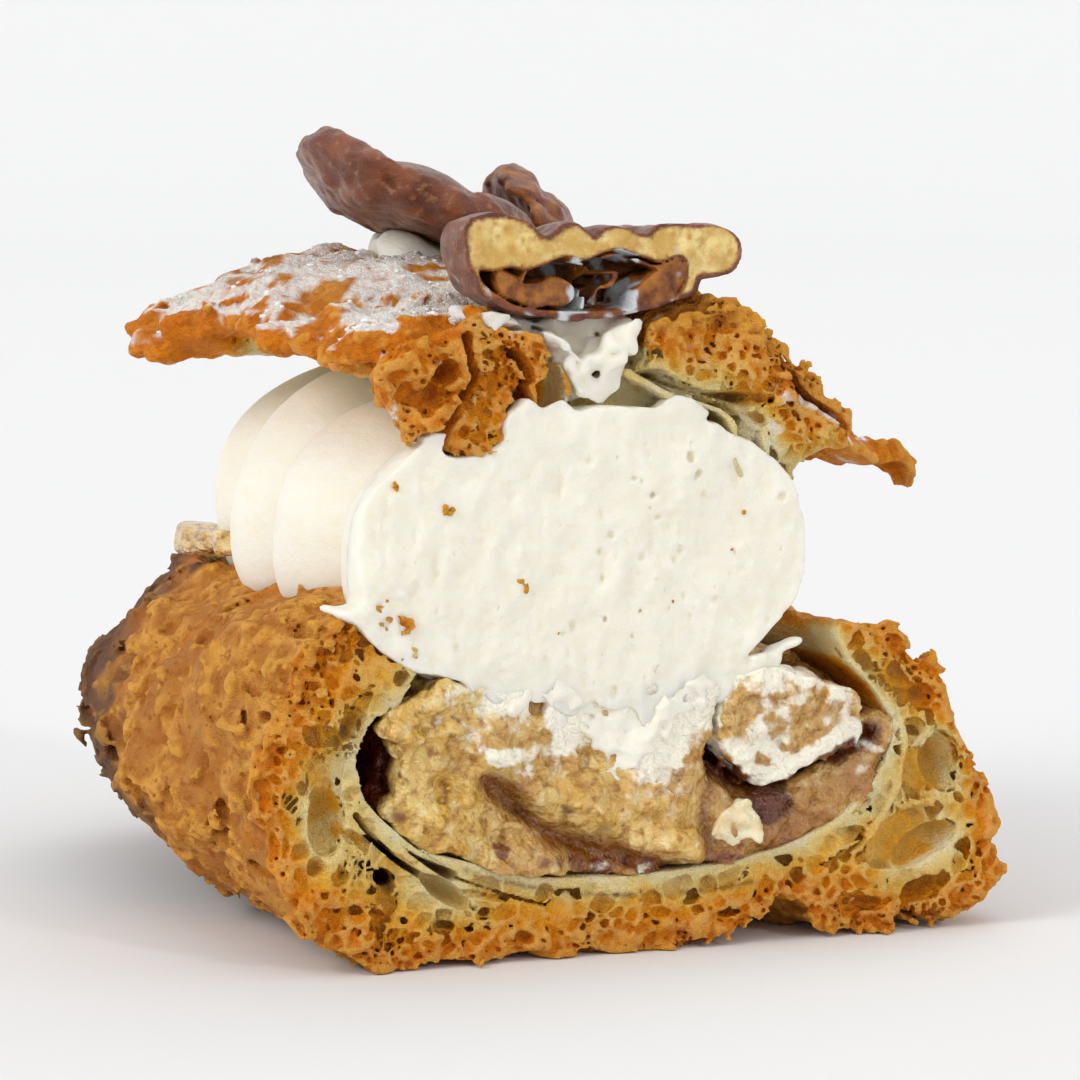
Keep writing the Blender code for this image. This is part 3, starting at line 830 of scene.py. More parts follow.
def cut_at_face(block, field, relief):
    """What is left behind a rough cut that lies relief mm behind the knife's face."""
    return np.maximum(field, FACE + relief - block.y)


def carved(block, field, holes, slits):
    """A piece with holes and slits drawn at the face cut out of it."""
    for (x, z), size, tilt in holes:
        field = np.maximum(field, -ball(block, (x, FACE, z), size, tilt))
    for points, half_width, depth in slits:
        field = np.maximum(field, -slit(block, points, half_width, depth))
    return field


# %% Putting a piece in the frame
def dress(obj, block, field, material, node, around=0.3):
    """Stores how proud each spot stands, and puts the piece in the frame in place of its solid."""
    spots = places_of(obj)
    paint(obj, "proud", read(block, blurred(field, around, block.step), spots))
    obj.data.materials.append(material)
    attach(obj, BODY)
    if node:
        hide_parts(node)
    return spots


# Outlines of the two broken ends of the lid that hang down in front of the cream.
LID_LUMP = (
    (-17.4, 34.9), (-16.8, 33.8), (-15.9, 31.9), (-15.1, 30.7), (-14.7, 31.2), (-13.5, 31.8),
    (-12.5, 33.2), (-11.4, 35.0), (-11.2, 37.3), (-11.6, 38.2), (-14.0, 37.4), (-16.3, 36.2),
)
LID_COLUMN = (
    (-11.4, 37.2), (-9.5, 37.6), (-7.6, 36.9), (-6.0, 36.1), (-5.9, 35.1), (-7.3, 34.1), (-8.2, 33.2),
    (-9.2, 32.3), (-9.3, 31.1), (-10.4, 30.4), (-12.0, 30.1), (-13.1, 30.4), (-13.0, 31.3),
    (-12.4, 32.6), (-11.4, 33.7), (-11.0, 35.0),
)


def pushed(block, field, push):
    """The field with each point pushed this many mm along x."""
    last = block.count[0] - 1
    at = np.arange(last + 1)[:, None, None] - np.broadcast_to(push, field.shape) / block.step
    at = np.clip(at, 0, last - 0.001)
    low = at.astype(int)
    share = (at - low).astype(np.float32)
    return (1 - share) * np.take_along_axis(field, low, 0) + share * np.take_along_axis(field, low + 1, 0)

# %% [markdown]
# ## The choux shell
# Baked choux is browned and pebbly outside, full of bubbles inside, and lined with shiny pale skin
# where the steam blew its hollow. Two maps guide all of that: how deep a cell lies under the crust,
# and how far it is from the hollow. Their share says how baked the crumb is there.

# %% How baked each part of the shell is
SHELL_ROOM = (SHELL_LOW - 2.5, SHELL_HIGH + 2.5)
DEEP = 9.0


def redistanced(block, field, reach):
    """True distances from the same surface."""
    points, quads = surface_of(block, field)
    triangles = np.concatenate([quads[:, [0, 1, 2]], quads[:, [0, 2, 3]]])
    return distances(block, points, triangles, reach)


def settled(block, shell):
    """The far left end of the loaf sagged in the oven, and its right heel spread on the tray."""
    along = block.y - FACE
    left = ease((-14.5 - block.x) / 5)
    above = ease((block.z - 12.5) / 5) * ease((along - 14) / 16)
    below = ease((12.5 - block.z) / 6) * ease((along - 8) / 14)
    heel = ease((block.x - 17) / 4) * ease((5.5 - block.z) / 3) * (1 - ease((along - 6) / 8))
    return np.maximum(shell + left * (1.8 * above - 1.8 * below) - 2.1 * heel, -block.z)


def shell_maps():
    """A coarse block, the depth under the crust in it, and the distance from the hollow."""
    block = Block(SHELL_ROOM[0] - 8, SHELL_ROOM[1] + 8, 0.6)
    shell = settled(block, node_distances(block, "choux_shell", DEEP, run_on=6))
    from_left = np.minimum.accumulate(shell, axis=0)
    from_right = np.minimum.accumulate(shell[::-1], axis=0)[::-1]
    loaf = np.maximum(from_left, from_right)
    loaf = np.where(block.z < 3.4, shell, loaf)
    under_crust = -redistanced(block, loaf, DEEP)
    hollow = np.maximum(loaf, -shell) + 0.2
    return block, under_crust, redistanced(block, hollow, DEEP)


MAP_BLOCK, UNDER_CRUST, FROM_HOLLOW = shell_maps()
print("shell maps:", MAP_BLOCK.count, "cells")


def bake_share(under_crust, from_hollow):
    """0 on the pale lining of the hollow, 1 at the browned crust."""
    under, off = np.maximum(under_crust, 0), np.maximum(from_hollow, 0)
    return off / (off + under + 0.05)


# %% The bubbles that the knife opened, placed where the crumb is thick enough
def wall_lean(spots):
    """The way the wall runs at each spot, as an angle in the plane of the face."""
    across = np.gradient(UNDER_CRUST, axis=0), np.gradient(UNDER_CRUST, axis=2)
    gx, gz = (read(MAP_BLOCK, g, spots) for g in across)
    return np.arctan2(gx, -gz)


def scattered_bubbles(shell_field, count, seed):
    """Bubbles near the face: small under the crust and larger towards the lining."""
    rng = np.random.default_rng(seed)
    draws = rng.random((count * DRAWS_PER_BUBBLE, 6)).astype(np.float32)
    spots = spots_between(SHELL_LOW, SHELL_HIGH, draws, FACE + draws[:, 1] * 1.3 - 0.35)
    inside = read(MAP_BLOCK, shell_field, spots)
    off = read(MAP_BLOCK, FROM_HOLLOW, spots)
    lining = np.where(spots[:, 2] < 7, 1.25, 0.55)
    fits = (inside < -0.1) & (off > lining)
    spots, draws, inside, off = spots[fits], draws[fits], inside[fits], off[fits]
    share = bake_share(read(MAP_BLOCK, UNDER_CRUST, spots), off)
    largest = np.interp(share, (0.0, 0.2, 0.45, 0.7, 1.0), (0.3, 0.75, 0.7, 0.38, 0.2))
    sizes = np.maximum(largest * (0.3 + 0.7 * draws[:, 3] ** 2.5), 0.15)
    sizes = np.minimum(sizes, 0.12 - inside * 0.9)
    lean = wall_lean(spots) + 0.5 * (draws[:, 5] - 0.5)
    longer = 1.0 + 1.0 * draws[:, 4] ** 1.5
    kept = [n for n in packed_bubbles(spots, sizes, count) if sizes[n] > 0.14]
    return [(spots[n], float(sizes[n]), float(longer[n]), float(lean[n])) for n in kept]


# Holes that stand out at the face: middle (x, z), half sizes (x, y, z), tilt in radians.
FACE_HOLES = (
    ((-17.1, 12.8), (1.3, 6.0, 2.5), 0.12),
    ((-18.8, 14.9), (0.75, 1.2, 1.1), 0.3),
    ((-20.8, 14.2), (1.1, 1.1, 0.7), 0.15),
    ((-20.6, 11.6), (1.1, 1.2, 1.7), 0.05),
    ((-18.0, 16.4), (0.5, 0.8, 0.35), 0.4),
    ((-16.8, 5.6), (0.8, 3.0, 0.55), 0.6),
    ((-18.9, 8.2), (0.6, 0.9, 0.4), 0.7),
    ((-17.2, 3.5), (0.8, 1.6, 0.28), 0.4),
    ((-13.2, 2.5), (0.85, 1.0, 0.42), 0.1),
    ((-8.1, 1.5), (0.65, 1.0, 0.42), 0.3),
    ((-10.6, 3.1), (0.6, 0.8, 0.38), -0.3),
    ((5.4, 2.0), (0.8, 1.6, 0.25), -0.1),
    ((14.1, 17.3), (0.6, 1.0, 0.45), 0.5),
    ((15.1, 16.2), (0.45, 0.9, 0.38), 0.0),
    ((17.8, 12.7), (0.65, 1.0, 0.75), -0.5),
    ((18.2, 9.9), (1.4, 1.6, 1.7), 0.0),
    ((16.9, 6.0), (2.8, 1.7, 1.45), -0.55),
    ((14.5, 5.1), (0.65, 4.0, 0.3), -0.5),
    ((18.9, 5.1), (0.5, 2.0, 0.27), 0.0),
    ((18.5, 2.6), (1.6, 2.5, 0.75), -0.35),
    ((14.6, 2.0), (1.2, 1.4, 0.45), 0.1),
)

# Slits between the sheets of skin that line the hollow: points (x, z) along each and its half width.
LINING_SLITS = (
    (((-18.7, 9.5), (-17.5, 8.0), (-16.0, 6.6), (-14.5, 5.6)), 0.2, 5.0),
    (((-16.1, 8.2), (-14.7, 6.9), (-13.4, 5.95), (-12.6, 5.5)), 0.32, 5.0),
    (((-12.6, 5.45), (-9.7, 4.3), (-6.6, 3.3)), 0.09, 2.0),
    (((-13.2, 4.7), (-12.4, 4.5), (-11.6, 4.3)), 0.26, 1.2),
    (((-11.8, 4.5), (-10.5, 4.2), (-9.2, 3.9)), 0.2, 1.2),
    (((11.6, 4.6), (13.3, 5.4), (14.2, 5.8), (15.0, 6.9), (15.8, 7.7)), 0.13, 3.0),
)


# Sheets of skin that hang free in front of the hollow, and the slit between two of them, painted dark as
# shade.
LINING_SHEETS = (
    (((-14.3, 18.4), (-15.2, 17.2), (-16.0, 15.8), (-16.1, 14.4), (-15.4, 13.1)), 0.17, 0.3, 4.5),
    (((-18.6, 16.6), (-17.3, 16.9), (-16.0, 16.2)), 0.15, 0.2, 2.0),
    (((-18.9, 10.7), (-17.6, 9.4), (-16.0, 7.9), (-14.2, 6.7), (-12.2, 5.9)), 0.16, 0.1, 4.0),
    (((14.6, 6.2), (15.8, 7.6), (16.8, 9.6), (17.1, 12.0), (16.5, 14.2)), 0.16, 0.1, 3.0),
)
# Hollows painted dark red inside as shade: middle, half width and half height at the face.
SHADED_HOLLOWS = (
    ((-17.1, 12.8), 1.7, 2.9), ((-16.8, 5.6), 1.1, 0.8), ((14.5, 6.9), 0.6, 0.5), ((-15.6, 7.4), 1.0, 0.9),
)
# A hollow whose crumb is painted amber, standing in for the glow of light inside it.
PAINTED_GLOW_HOLLOW = (
    (11.0, 16.0), (13.0, 17.0), (15.0, 16.2), (16.0, 13.6), (15.6, 11.6), (14.2, 12.6), (13.6, 14.6),
)
SHADED_SLIT = ((-12.0, 5.9), (-10.7, 5.3), (-7.2, 4.4), (-3.0, 3.7), (3.5, 3.5), (7.0, 3.9))


# %% The shell's skin: plateaus of dry crust, with pits and cracks between them
def crust_relief(block, seed):
    """How far the crust stands in (above 0) or out (below 0). Its forms run along the loaf."""

    def noise(size, n):
        return lumps(block, (size, 2.1 * size, size), seed + n)

    relief = 0.13 * noise(4.2, 0) + 0.12 * noise(1.3, 1) + 0.06 * noise(0.4, 10)
    broken = noise(1.9, 2) + 0.6 * noise(0.9, 3) + 0.5 * noise(0.45, 4)
    relief = relief + 0.32 * ease((broken - 0.6) / 0.3)
    hole = noise(0.95, 5) + 0.4 * noise(0.45, 6)
    relief = relief + 0.55 * ease((hole - 1.1) / 0.45)
    relief = relief - 0.36 * ease((noise(0.7, 7) - 0.9) / 0.5)
    crack = np.exp(-((noise(2.6, 8) / 0.05) ** 2))
    return relief + 0.18 * crack * ease(0.6 * noise(5.0, 9))


def shell_clay(block, run_on):
    """The shell with its crust relief and its large holes, and how baked each cell is."""
    shell = settled(block, softened(block, "choux_shell", 3.6, 0.35, run_on))
    under = moved_to(block, UNDER_CRUST, MAP_BLOCK)
    off = moved_to(block, FROM_HOLLOW, MAP_BLOCK)
    share = bake_share(under, off)
    outside = ease((share - 0.72) / 0.2)
    shell = shell + crust_relief(block, 11) * outside
    low_edge = ease((2.5 - block.z) / 2.5) * outside
    shell = shell - 0.3 * low_edge * np.maximum(lumps(block, 1.5, 30), -0.3)
    shell = shell + 0.06 * lumps(block, 1.8, 31) * (1 - outside)
    shell = carved(block, shell, FACE_HOLES, LINING_SLITS)
    return np.maximum(shell, 0.05 - block.z), share


FACE_SLAB = 4.0


def make_shell_face():
    """The first millimetres behind the knife, fine enough for the crumb."""
    low, high = SHELL_ROOM
    block = Block((low[0], FACE - 0.6, -0.3), (high[0], FACE + FACE_SLAB + 0.3, high[2]), 0.135)
    shell, share = shell_clay(block, run_on=3)
    whole = settled(MAP_BLOCK, node_distances(MAP_BLOCK, "choux_shell", DEEP, run_on=6))
    bubbles = scattered_bubbles(whole, 4200, 5)
    print("bubbles:", len(bubbles))
    thin = 0.15 + 0.05 * lumps(block, 1.3, 43)
    air = foam(block, bubbles, thin, wall_bend(block, 45))
    torn = ease((share - 0.45) / 0.35)
    ragged = 0.1 + 0.06 * lumps(block, 0.45, 41) + 0.14 * lumps(block, 1.6, 42)
    shards = 0.22 * lumps(block, 0.95, 47) + 0.17 * lumps(block, 0.42, 48)
    shards = shards + 0.12 * lumps(block, 0.26, 49)
    ragged = ragged * (0.2 + 0.8 * ease(share / 0.3)) + torn * (0.12 + shards)
    # The rim under the cream's smear is a little lower, so that it does not poke through.
    ragged = ragged + 0.45 * np.exp(-(((block.x + 17.4) / 1.9) ** 2) - ((block.z - 19.5) / 1.5) ** 2)
    shell = np.maximum(cut_at_face(block, shell, ragged), -air)
    for points, half_thick, start, depth in LINING_SHEETS:
        skin = sheet(block, points, half_thick, start, depth)
        shell = np.minimum(shell, skin + 0.05 * lumps(block, 0.9, 50))
    return block, np.maximum(shell, block.y - (FACE + FACE_SLAB))


def make_shell_body():
    low, high = SHELL_ROOM
    start = FACE + FACE_SLAB - 0.2
    block = Block((low[0], start - 0.5, -0.5), high, 0.26)
    shell, _ = shell_clay(block, run_on=0)
    return block, np.maximum(shell, start - block.y)


def dress_shell(obj, block, field):
    """Stores what the choux finish reads, and puts the piece in the frame."""
    spots = dress(obj, block, field, CHOUX, "choux_shell")
    x, along, z = spots[:, 0], spots[:, 1] - FACE, spots[:, 2]
    share = bake_share(read(MAP_BLOCK, UNDER_CRUST, spots), read(MAP_BLOCK, FROM_HOLLOW, spots))
    # Painted glow: in that hollow and deep in the large holes the crumb is given a more baked, orange
    # colour.
    amber = ease((0.5 - off_outline(x, z, PAINTED_GLOW_HOLLOW)) / 0.8) * ease((along - 0.5) / 0.8)
    share = np.maximum(share, 0.72 * amber * (along < 9))
    hole_glow = np.zeros(len(spots))
    for (px, pz), (wide, _, high), tilt in FACE_HOLES:
        across = (x - px) * math.cos(tilt) - (z - pz) * math.sin(tilt)
        up = (x - px) * math.sin(tilt) + (z - pz) * math.cos(tilt)
        hole_glow = np.maximum(hole_glow, ease((1.9 - np.hypot(across / wide, up / high)) / 0.5))
    share = np.maximum(share, 0.34 * hole_glow * ease((along - 0.6) / 0.5) * (along < 9))
    paint(obj, "bake_and_glow", share)
    patchy = read(MAP_BLOCK, lumps(MAP_BLOCK, 1.6, 51), spots)
    behind = ease((along - 0.7 - 0.35 * patchy) / 0.6)
    paint(obj, "crust", ease((share - 0.84) / 0.12) * behind)
    # The round far end is darker grey brown on its left side, and the slit between two sheets of lining is
    # painted dark as shade.
    end = ease((along - 20.5 - 1.35 * np.clip(z - 6, 0, 11) + 1.8 * patchy) / 7) * ease((-6 - x) / 8)
    slit_shade = 0.6 * bump_along(x, z, SHADED_SLIT, 0.13) * (along < 0.6)
    # Painted shade deep inside the listed hollows.
    hollow_shade = np.zeros(len(spots))
    for (px, pz), wide, high in SHADED_HOLLOWS:
        off = np.hypot((x - px) / wide, (z - pz) / high)
        hollow_shade = np.maximum(hollow_shade, ease((1.6 - off) / 0.4) * ease((along - 0.7) / 0.9) * (along < 9))
    paint(obj, "hollow_shade", hollow_shade)
    paint(obj, "darkened_and_shade", np.maximum(0.9 * end * ease((share - 0.8) / 0.15), slit_shade))
    paint(obj, "sugar", 0)


for name, make, most_faces in (
    ("shell_crumb_face", make_shell_face, 175_000),
    ("shell_crust", make_shell_body, 150_000),
):
    block, field = make()
    dress_shell(mesh_from(block, field, name, most_faces), block, field)

# %% [markdown]
# ## The cream
# The rope of whipped cream was piped in turns, so it bulges and pinches along its length. Its shape
# is a rounded section that swells and shrinks with the turns. The knife dragged it flat at the face,
# where small air bubbles opened, and it smeared over the filling below.

# %% The piped rope
CREAM_LOW, CREAM_HIGH = box_mm("piped_cream")
CREAM_X, CREAM_MID = -4.37, 24.2
CREAM_WIDE, CREAM_UP, CREAM_DOWN, CREAM_GROWS = 14.5, 8.6, 8.8, 2.6
CREAM_LONG = CREAM_HIGH[1] - FACE
TURN_LENGTH, PINCH = 11.4, 0.17


def rope_distance(block):
    """Distance from the rope of cream: a rounded section that pinches in at each turn."""
    along = block.y - FACE
    rise = CREAM_UP + CREAM_GROWS * ease((along - 4) / 22)
    x = block.x - CREAM_X - 2.0 * ease((along - 16) / 24)
    z = block.z - CREAM_MID
    tall = np.where(z > 0, rise, CREAM_DOWN)
    slant = along + 0.12 * CREAM_DOWN * np.clip(z / tall, -1, 1)
    lobe = np.abs(np.sin(math.pi * (slant + 4.0) / TURN_LENGTH)) ** 0.55
    start = CREAM_LONG - 13
    rounding = np.clip((along - start) / (CREAM_LONG - start), 0, 0.999) ** 2.2
    pinch = PINCH * (1 - lobe) * (1 - ease((along - start) / 8))
    full = np.maximum(1 - rounding, 0) ** (1 / 2.2) * (1 - pinch)
    full = np.where(along < CREAM_LONG, full, -0.1)
    reach = (np.abs(x / CREAM_WIDE) ** 2.35 + np.abs(z / tall) ** 2.35) ** (1 / 2.35)
    field = (reach - full) * 10
    slope = np.sqrt(sum(g * g for g in np.gradient(field, block.step)))
    field = field / np.clip(slope, 0.6, 3.0)
    return field + 0.18 * lumps(block, 6.0, 61)


def cream_pits(block, count, seed):
    """Small bubbles opened by the knife."""
    rng = np.random.default_rng(seed)
    air = block.full(FAR)
    for _ in range(count):
        x = CREAM_X + CREAM_WIDE * rng.uniform(-1, 1)
        z = CREAM_MID + CREAM_DOWN * rng.uniform(-1, 1)
        radius = 0.09 + 0.22 * rng.random() ** 4
        centre = np.array((x, FACE + 0.05 - 0.3 * radius, z))
        stretch = (radius, radius * 1.1, radius * rng.uniform(0.8, 1.8))
        part, offsets = cells_near(block, centre, 2 * radius)
        if part is None:
            continue
        x, y, z = (offset / size for offset, size in zip(offsets, stretch))
        air[part] = np.minimum(air[part], (np.sqrt(x**2 + y**2 + z**2) - 1) * radius)
    return air


# Smears at the face: middle (x, y behind the face, z), half sizes, tilt.
CREAM_SMEARS = (
    ((-15.0, 0.6, 19.5), (3.3, 2.1, 0.95), 0.42),
    ((-18.0, 0.8, 20.9), (2.0, 1.4, 0.45), 0.28),
    ((-12.0, 0.3, 17.6), (2.4, 1.8, 1.1), 0.5),
    ((-9.2, 0.3, 16.4), (3.4, 1.6, 1.1), 0.35),
    ((-2.0, 0.2, 15.4), (6.0, 1.6, 1.3), 0.1),
    ((5.0, 0.2, 16.2), (4.0, 1.6, 1.3), -0.2),
    ((9.6, 0.5, 18.4), (1.4, 1.2, 0.5), -0.3),
)
# Ridges that the knife and the lid pulled up along the top, and a strand at the right.
CREAM_PEAKS = (
    (((-15.6, 31.0), (-14.6, 31.9), (-13.9, 31.3)), 0.3),
    (((-9.0, 31.6), (-8.0, 32.9), (-6.9, 32.1), (-5.6, 33.0), (-4.6, 32.2)), 0.3),
    (((-1.8, 32.1), (-0.6, 31.3), (0.4, 32.2), (1.6, 33.1), (3.6, 32.4)), 0.28),
    (((4.4, 31.6), (5.4, 30.4), (5.3, 28.9)), 0.25),
    (((6.6, 30.4), (7.0, 29.0), (6.9, 27.8)), 0.2),
)


def smeared_rope(block):
    cream = rope_distance(block)
    for (x, y, z), size, tilt in CREAM_SMEARS:
        cream = melt(cream, ball(block, (x, FACE + y, z), size, tilt), 0.8)
    return cream


def clear_of_lid(block, cream):
    """Leaves room for the ends of the lid that hang down in front of the cream."""
    for outline in (LID_LUMP, LID_COLUMN):
        cream = np.maximum(cream, -extruded(block, outline, -1.0, 4.6) + 0.08)
    return cream


CREAM_SLAB, ROPE_START = 2.0, 1.9  # mm behind the face: the slab's end, and a little before it


def make_cream_face():
    low = (CREAM_LOW[0] - 2, FACE - 0.8, CREAM_LOW[2] - 3.5)
    block = Block(low, (CREAM_HIGH[0] + 1.5, FACE + 2.6, CREAM_HIGH[2] + 1.5), 0.14)
    cream = smeared_rope(block)
    for points, half_thick in CREAM_PEAKS:
        cream = melt(cream, sheet(block, points, half_thick, 0.1, 1.6), 0.35)
    cream = cream + 0.05 * lumps(block, 0.7, 66) + 0.1 * lumps(block, 1.8, 67)
    frayed = ease((18.2 - block.z) / 2.4)
    cream = cream + frayed * (0.4 * lumps(block, 1.5, 68) + 0.25 * lumps(block, 0.6, 69) + 0.2)
    relief = 0.1 * lumps(block, 2.6, 62) + 0.07 * lumps(block, (0.6, 0.5, 1.0), 63)
    relief = relief + 0.03 * lumps(block, 0.3, 64)
    scratch = lumps(block, (0.35, 0.5, 1.6), 70)
    relief = relief + 0.07 * ease((scratch - 1.2) / 0.5)
    cream = np.maximum(cut_at_face(block, cream, relief), -cream_pits(block, 190, 65))
    return block, np.maximum(clear_of_lid(block, cream), block.y - (FACE + CREAM_SLAB))


def make_cream_rope():
    start = FACE + ROPE_START
    block = Block((CREAM_LOW[0] - 2, start - 0.5, CREAM_LOW[2] - 2), CREAM_HIGH + 1.5, 0.28)
    return block, np.maximum(clear_of_lid(block, smeared_rope(block)), start - block.y)


# %% The cream finish
def make_cream_finish(name, subsurface):
    cream = Finish(name, roughness=0.5, subsurface=subsurface, reach_mm=(1.6, 1.4, 1.0))
    colour = cream.patchy((0.87, 0.835, 0.715), (0.90, 0.875, 0.77), 3.5, edge=0.25)
    colour = cream.patchy(colour, (0.875, 0.83, 0.69), 0.9, 0.3, 0.15)
    # Painted shade: pits and creases are tinted a darker yellow.
    colour = cream.tinted(colour, (0.80, 0.71, 0.48), cream.group("pits", Depth=0.2, Start=0.02), 0.6)
    cream.set(Base_Color=colour, Roughness=cream.span(cream.group("patches", Size=1.2), 0.42, 0.6))
    cream.bump(cream.group("grain", Size=0.55, Fine_share=0.5), 0.09, 0.8)
    return cream.material


CREAM = make_cream_finish("whipped_cream", 0.5)
THIN_CREAM = make_cream_finish("thin_cream", 0.08)

for name, make, most_faces in (
    ("cream_face", make_cream_face, 50_000),
    ("cream_rope", make_cream_rope, 24_000),
):
    block, field = make()
    dress(mesh_from(block, field, name, most_faces), block, field, CREAM, "piped_cream")

# %% [markdown]
# ## The filling
# Cooked apple is soft, wet and see-through at its edges. At the knife's face the compote and the
# pieces of apple run into each other as one cut surface, with a golden ridge across it, wet gaps
# painted dark as shade, and cream dragged thinly over the top. One relief and one set of colour maps
# are used for every piece there, so no seam shows where one piece ends and the next begins.

# %% Forms on the cut filling, as places (x, z) at the face
RIDGE = ((-9.8, 11.8), (-6.4, 9.9), (-2.9, 8.4), (0.3, 7.2), (2.9, 6.0))
UPPER_RIDGE = ((-3.4, 11.0), (-1.2, 9.9), (0.8, 8.8), (3.0, 7.4))
# The groove, the split and the line under the chunk lie deeper and are painted brown as shade.
GROOVE = ((-10.4, 11.0), (-8.0, 8.9), (-5.6, 7.2), (-2.5, 6.1), (1.9, 5.0))
SPLIT = ((4.4, 12.2), (4.0, 9.8), (3.5, 7.7), (3.8, 5.6), (3.9, 4.4))
UNDER_CHUNK = ((4.6, 10.4), (6.3, 9.9), (8.4, 10.0), (11.3, 11.0), (14.6, 12.5))
APPLE_EDGE = ((-9.4, 15.6), (-9.0, 13.4), (-9.9, 11.2), (-10.4, 8.6), (-9.6, 6.6))
CHUNK = (
    (5.1, 15.4), (6.3, 16.2), (8.4, 16.4), (10.8, 15.9), (13.3, 15.2), (14.1, 14.2), (13.8, 12.9),
    (11.7, 11.9), (10.0, 10.9), (8.0, 10.1), (6.9, 10.4), (5.9, 11.6), (4.7, 12.8), (4.5, 14.3),
)
CHUNK_RIM = ((4.9, 12.6), (6.0, 11.5), (7.0, 10.5), (8.1, 10.4), (10.0, 11.2), (11.7, 12.2), (13.6, 13.1))
WHITE_BLOB = ((-10.1, 12.5), (-7.8, 12.6))
SMEAR_EDGE = (
    (-17.0, 18.2), (-12.8, 16.8), (-10.9, 15.2), (-9.1, 13.7), (-6.4, 12.8), (-3.7, 12.4),
    (-2.2, 11.2), (1.1, 10.7), (2.7, 11.2), (3.9, 12.4), (5.6, 14.4), (8.6, 14.9), (11.8, 14.8),
    (14.6, 14.4), (18.0, 14.0),
)
SPECKS = (
    (-10.3, 6.9), (-8.0, 6.3), (-6.0, 5.9), (-1.7, 5.1), (2.7, 5.0), (5.2, 5.3), (8.4, 5.5), (12.6, 6.6),
)
# To the right of the split: mash round the sunken nut, the nut's wet skin and its cut flesh.
RIGHT_MASH = (
    (2.8, 11.6), (3.2, 8.6), (3.4, 5.2), (5.4, 4.9), (8.2, 5.3), (11.2, 6.3), (13.9, 8.0), (15.6, 10.2),
    (15.7, 12.2), (13.6, 12.2), (11.2, 10.9), (8.6, 9.9), (6.2, 10.6), (4.6, 11.9),
)
WET_SKIN = (
    (4.4, 11.2), (6.4, 10.6), (8.6, 10.6), (10.8, 11.3), (12.9, 12.3), (15.2, 12.8), (14.9, 11.4),
    (11.8, 10.7), (9.9, 9.6), (9.6, 7.9), (7.9, 7.4), (6.4, 8.1), (5.2, 9.2),
)
CUT_NUT = ((9.5, 9.8), (10.6, 10.6), (12.3, 10.7), (13.0, 9.8), (12.6, 8.5), (11.2, 7.8), (10.2, 8.1))
# Pockets that lie deeper and are painted brown as shade.
SHADED_POCKETS = (((-3.1, 14.2), 1.5, 0.9), ((-8.7, 10.6), 1.5, 1.1), ((-12.6, 12.0), 0.9, 1.4))
ROUND_HOLE = (-7.17, 15.27)


# %% The relief of the cut face
def wet_lumps(block, seed):
    field = 0.24 * lumps(block, 2.6, seed) + 0.14 * lumps(block, 1.2, seed + 1)
    field = field - 0.3 * np.abs(lumps(block, 1.3, seed + 6)) - 0.2 * np.abs(lumps(block, 0.6, seed + 7))
    return field + 0.24 + 0.07 * lumps(block, 0.38, seed + 2)


def smear_line(x):
    """The height to which thin cream covers the filling."""
    curve = curve_through(SMEAR_EDGE, False)
    return np.interp(x, curve[:, 0], curve[:, 1])


def filling_relief(block, seed=74):
    """How far behind the face the cut filling lies, in mm."""
    x, z = block.x, block.z
    deep = 0.35 + 1.25 * wet_lumps(block, seed)
    deep = deep - 0.95 * bump_along(x, z, RIDGE, 0.95) - 0.5 * bump_along(x, z, UPPER_RIDGE, 0.9)
    deep = deep + 1.2 * bump_along(x, z, GROOVE, 0.6) + 0.9 * bump_along(x, z, SPLIT, 0.7)
    deep = deep + 1.3 * bump_along(x, z, UNDER_CHUNK, 0.6) + 0.3 * bump_along(x, z, APPLE_EDGE, 0.5)
    deep = deep - 0.4 * bump_along(x, z, WHITE_BLOB, 0.6)
    for (px, pz), wide, high in SHADED_POCKETS:
        deep = deep + 0.5 * np.exp(-(((x - px) / wide) ** 2) - ((z - pz) / high) ** 2)
    deep = deep + 0.75 * ease((0.5 - off_outline(x, z, WET_SKIN)) / 1.0)
    # Under the smear the cut is flush with the cream, so the two run into each other.
    under = ease((z - smear_line(x) + 0.6) / 1.8)
    deep = deep + under * (0.12 + 0.35 * (deep - 0.35) - deep)
    hole = np.hypot(x - ROUND_HOLE[0], z - ROUND_HOLE[1])
    return deep + 0.9 * ease((0.65 - hole) / 0.2)


def make_compote():
    block = room_for("compote", 0.17)
    mash = softened(block, "compote", 2.0, 0.35, run_on=3) - 0.3
    mash = np.minimum(mash, extruded(block, RIGHT_MASH, -1.0, 5.0, 1.5))
    mash = mash + 0.4 * wet_lumps(block, 71)
    return block, cut_at_face(block, mash, filling_relief(block))


def make_left_apple():
    block = room_for("apple_left", 0.15)
    apple = softened(block, "apple_left", 2.0, 0.5, run_on=3) - 0.35
    apple = apple + 0.5 * wet_lumps(block, 91)
    return block, cut_at_face(block, apple, filling_relief(block))


def make_right_apple():
    """The chunk that stands a little proud on the right."""
    block = room_for("apple_right", 0.15)
    outline = extruded(block, CHUNK, -1.0, 3.5, 0.9)
    solid = softened(block, "apple_right", 2.0, 0.5, run_on=3)
    within = off_outline(block.x, block.z, CHUNK) - 0.2
    apple = np.minimum(outline, np.maximum(solid, within)) + 0.55 * wet_lumps(block, 95)
    proud = 0.0 + 1.0 * wet_lumps(block, 96) - 0.15 * bump_along(block.x, block.z, CHUNK_RIM, 0.6)
    return block, cut_at_face(block, apple, proud)


def make_sunken_nut():
    """The pecan half that the knife met inside the filling, cut flush with the mash round it."""
    block = room_for("pecan_inside", 0.16)
    nut = softened(block, "pecan_inside", 2.0, 0.35, run_on=3) - 0.2
    nut = nut + 0.3 * wet_lumps(block, 93)
    return block, np.maximum(nut, FACE + 0.08 + filling_relief(block) - block.y)


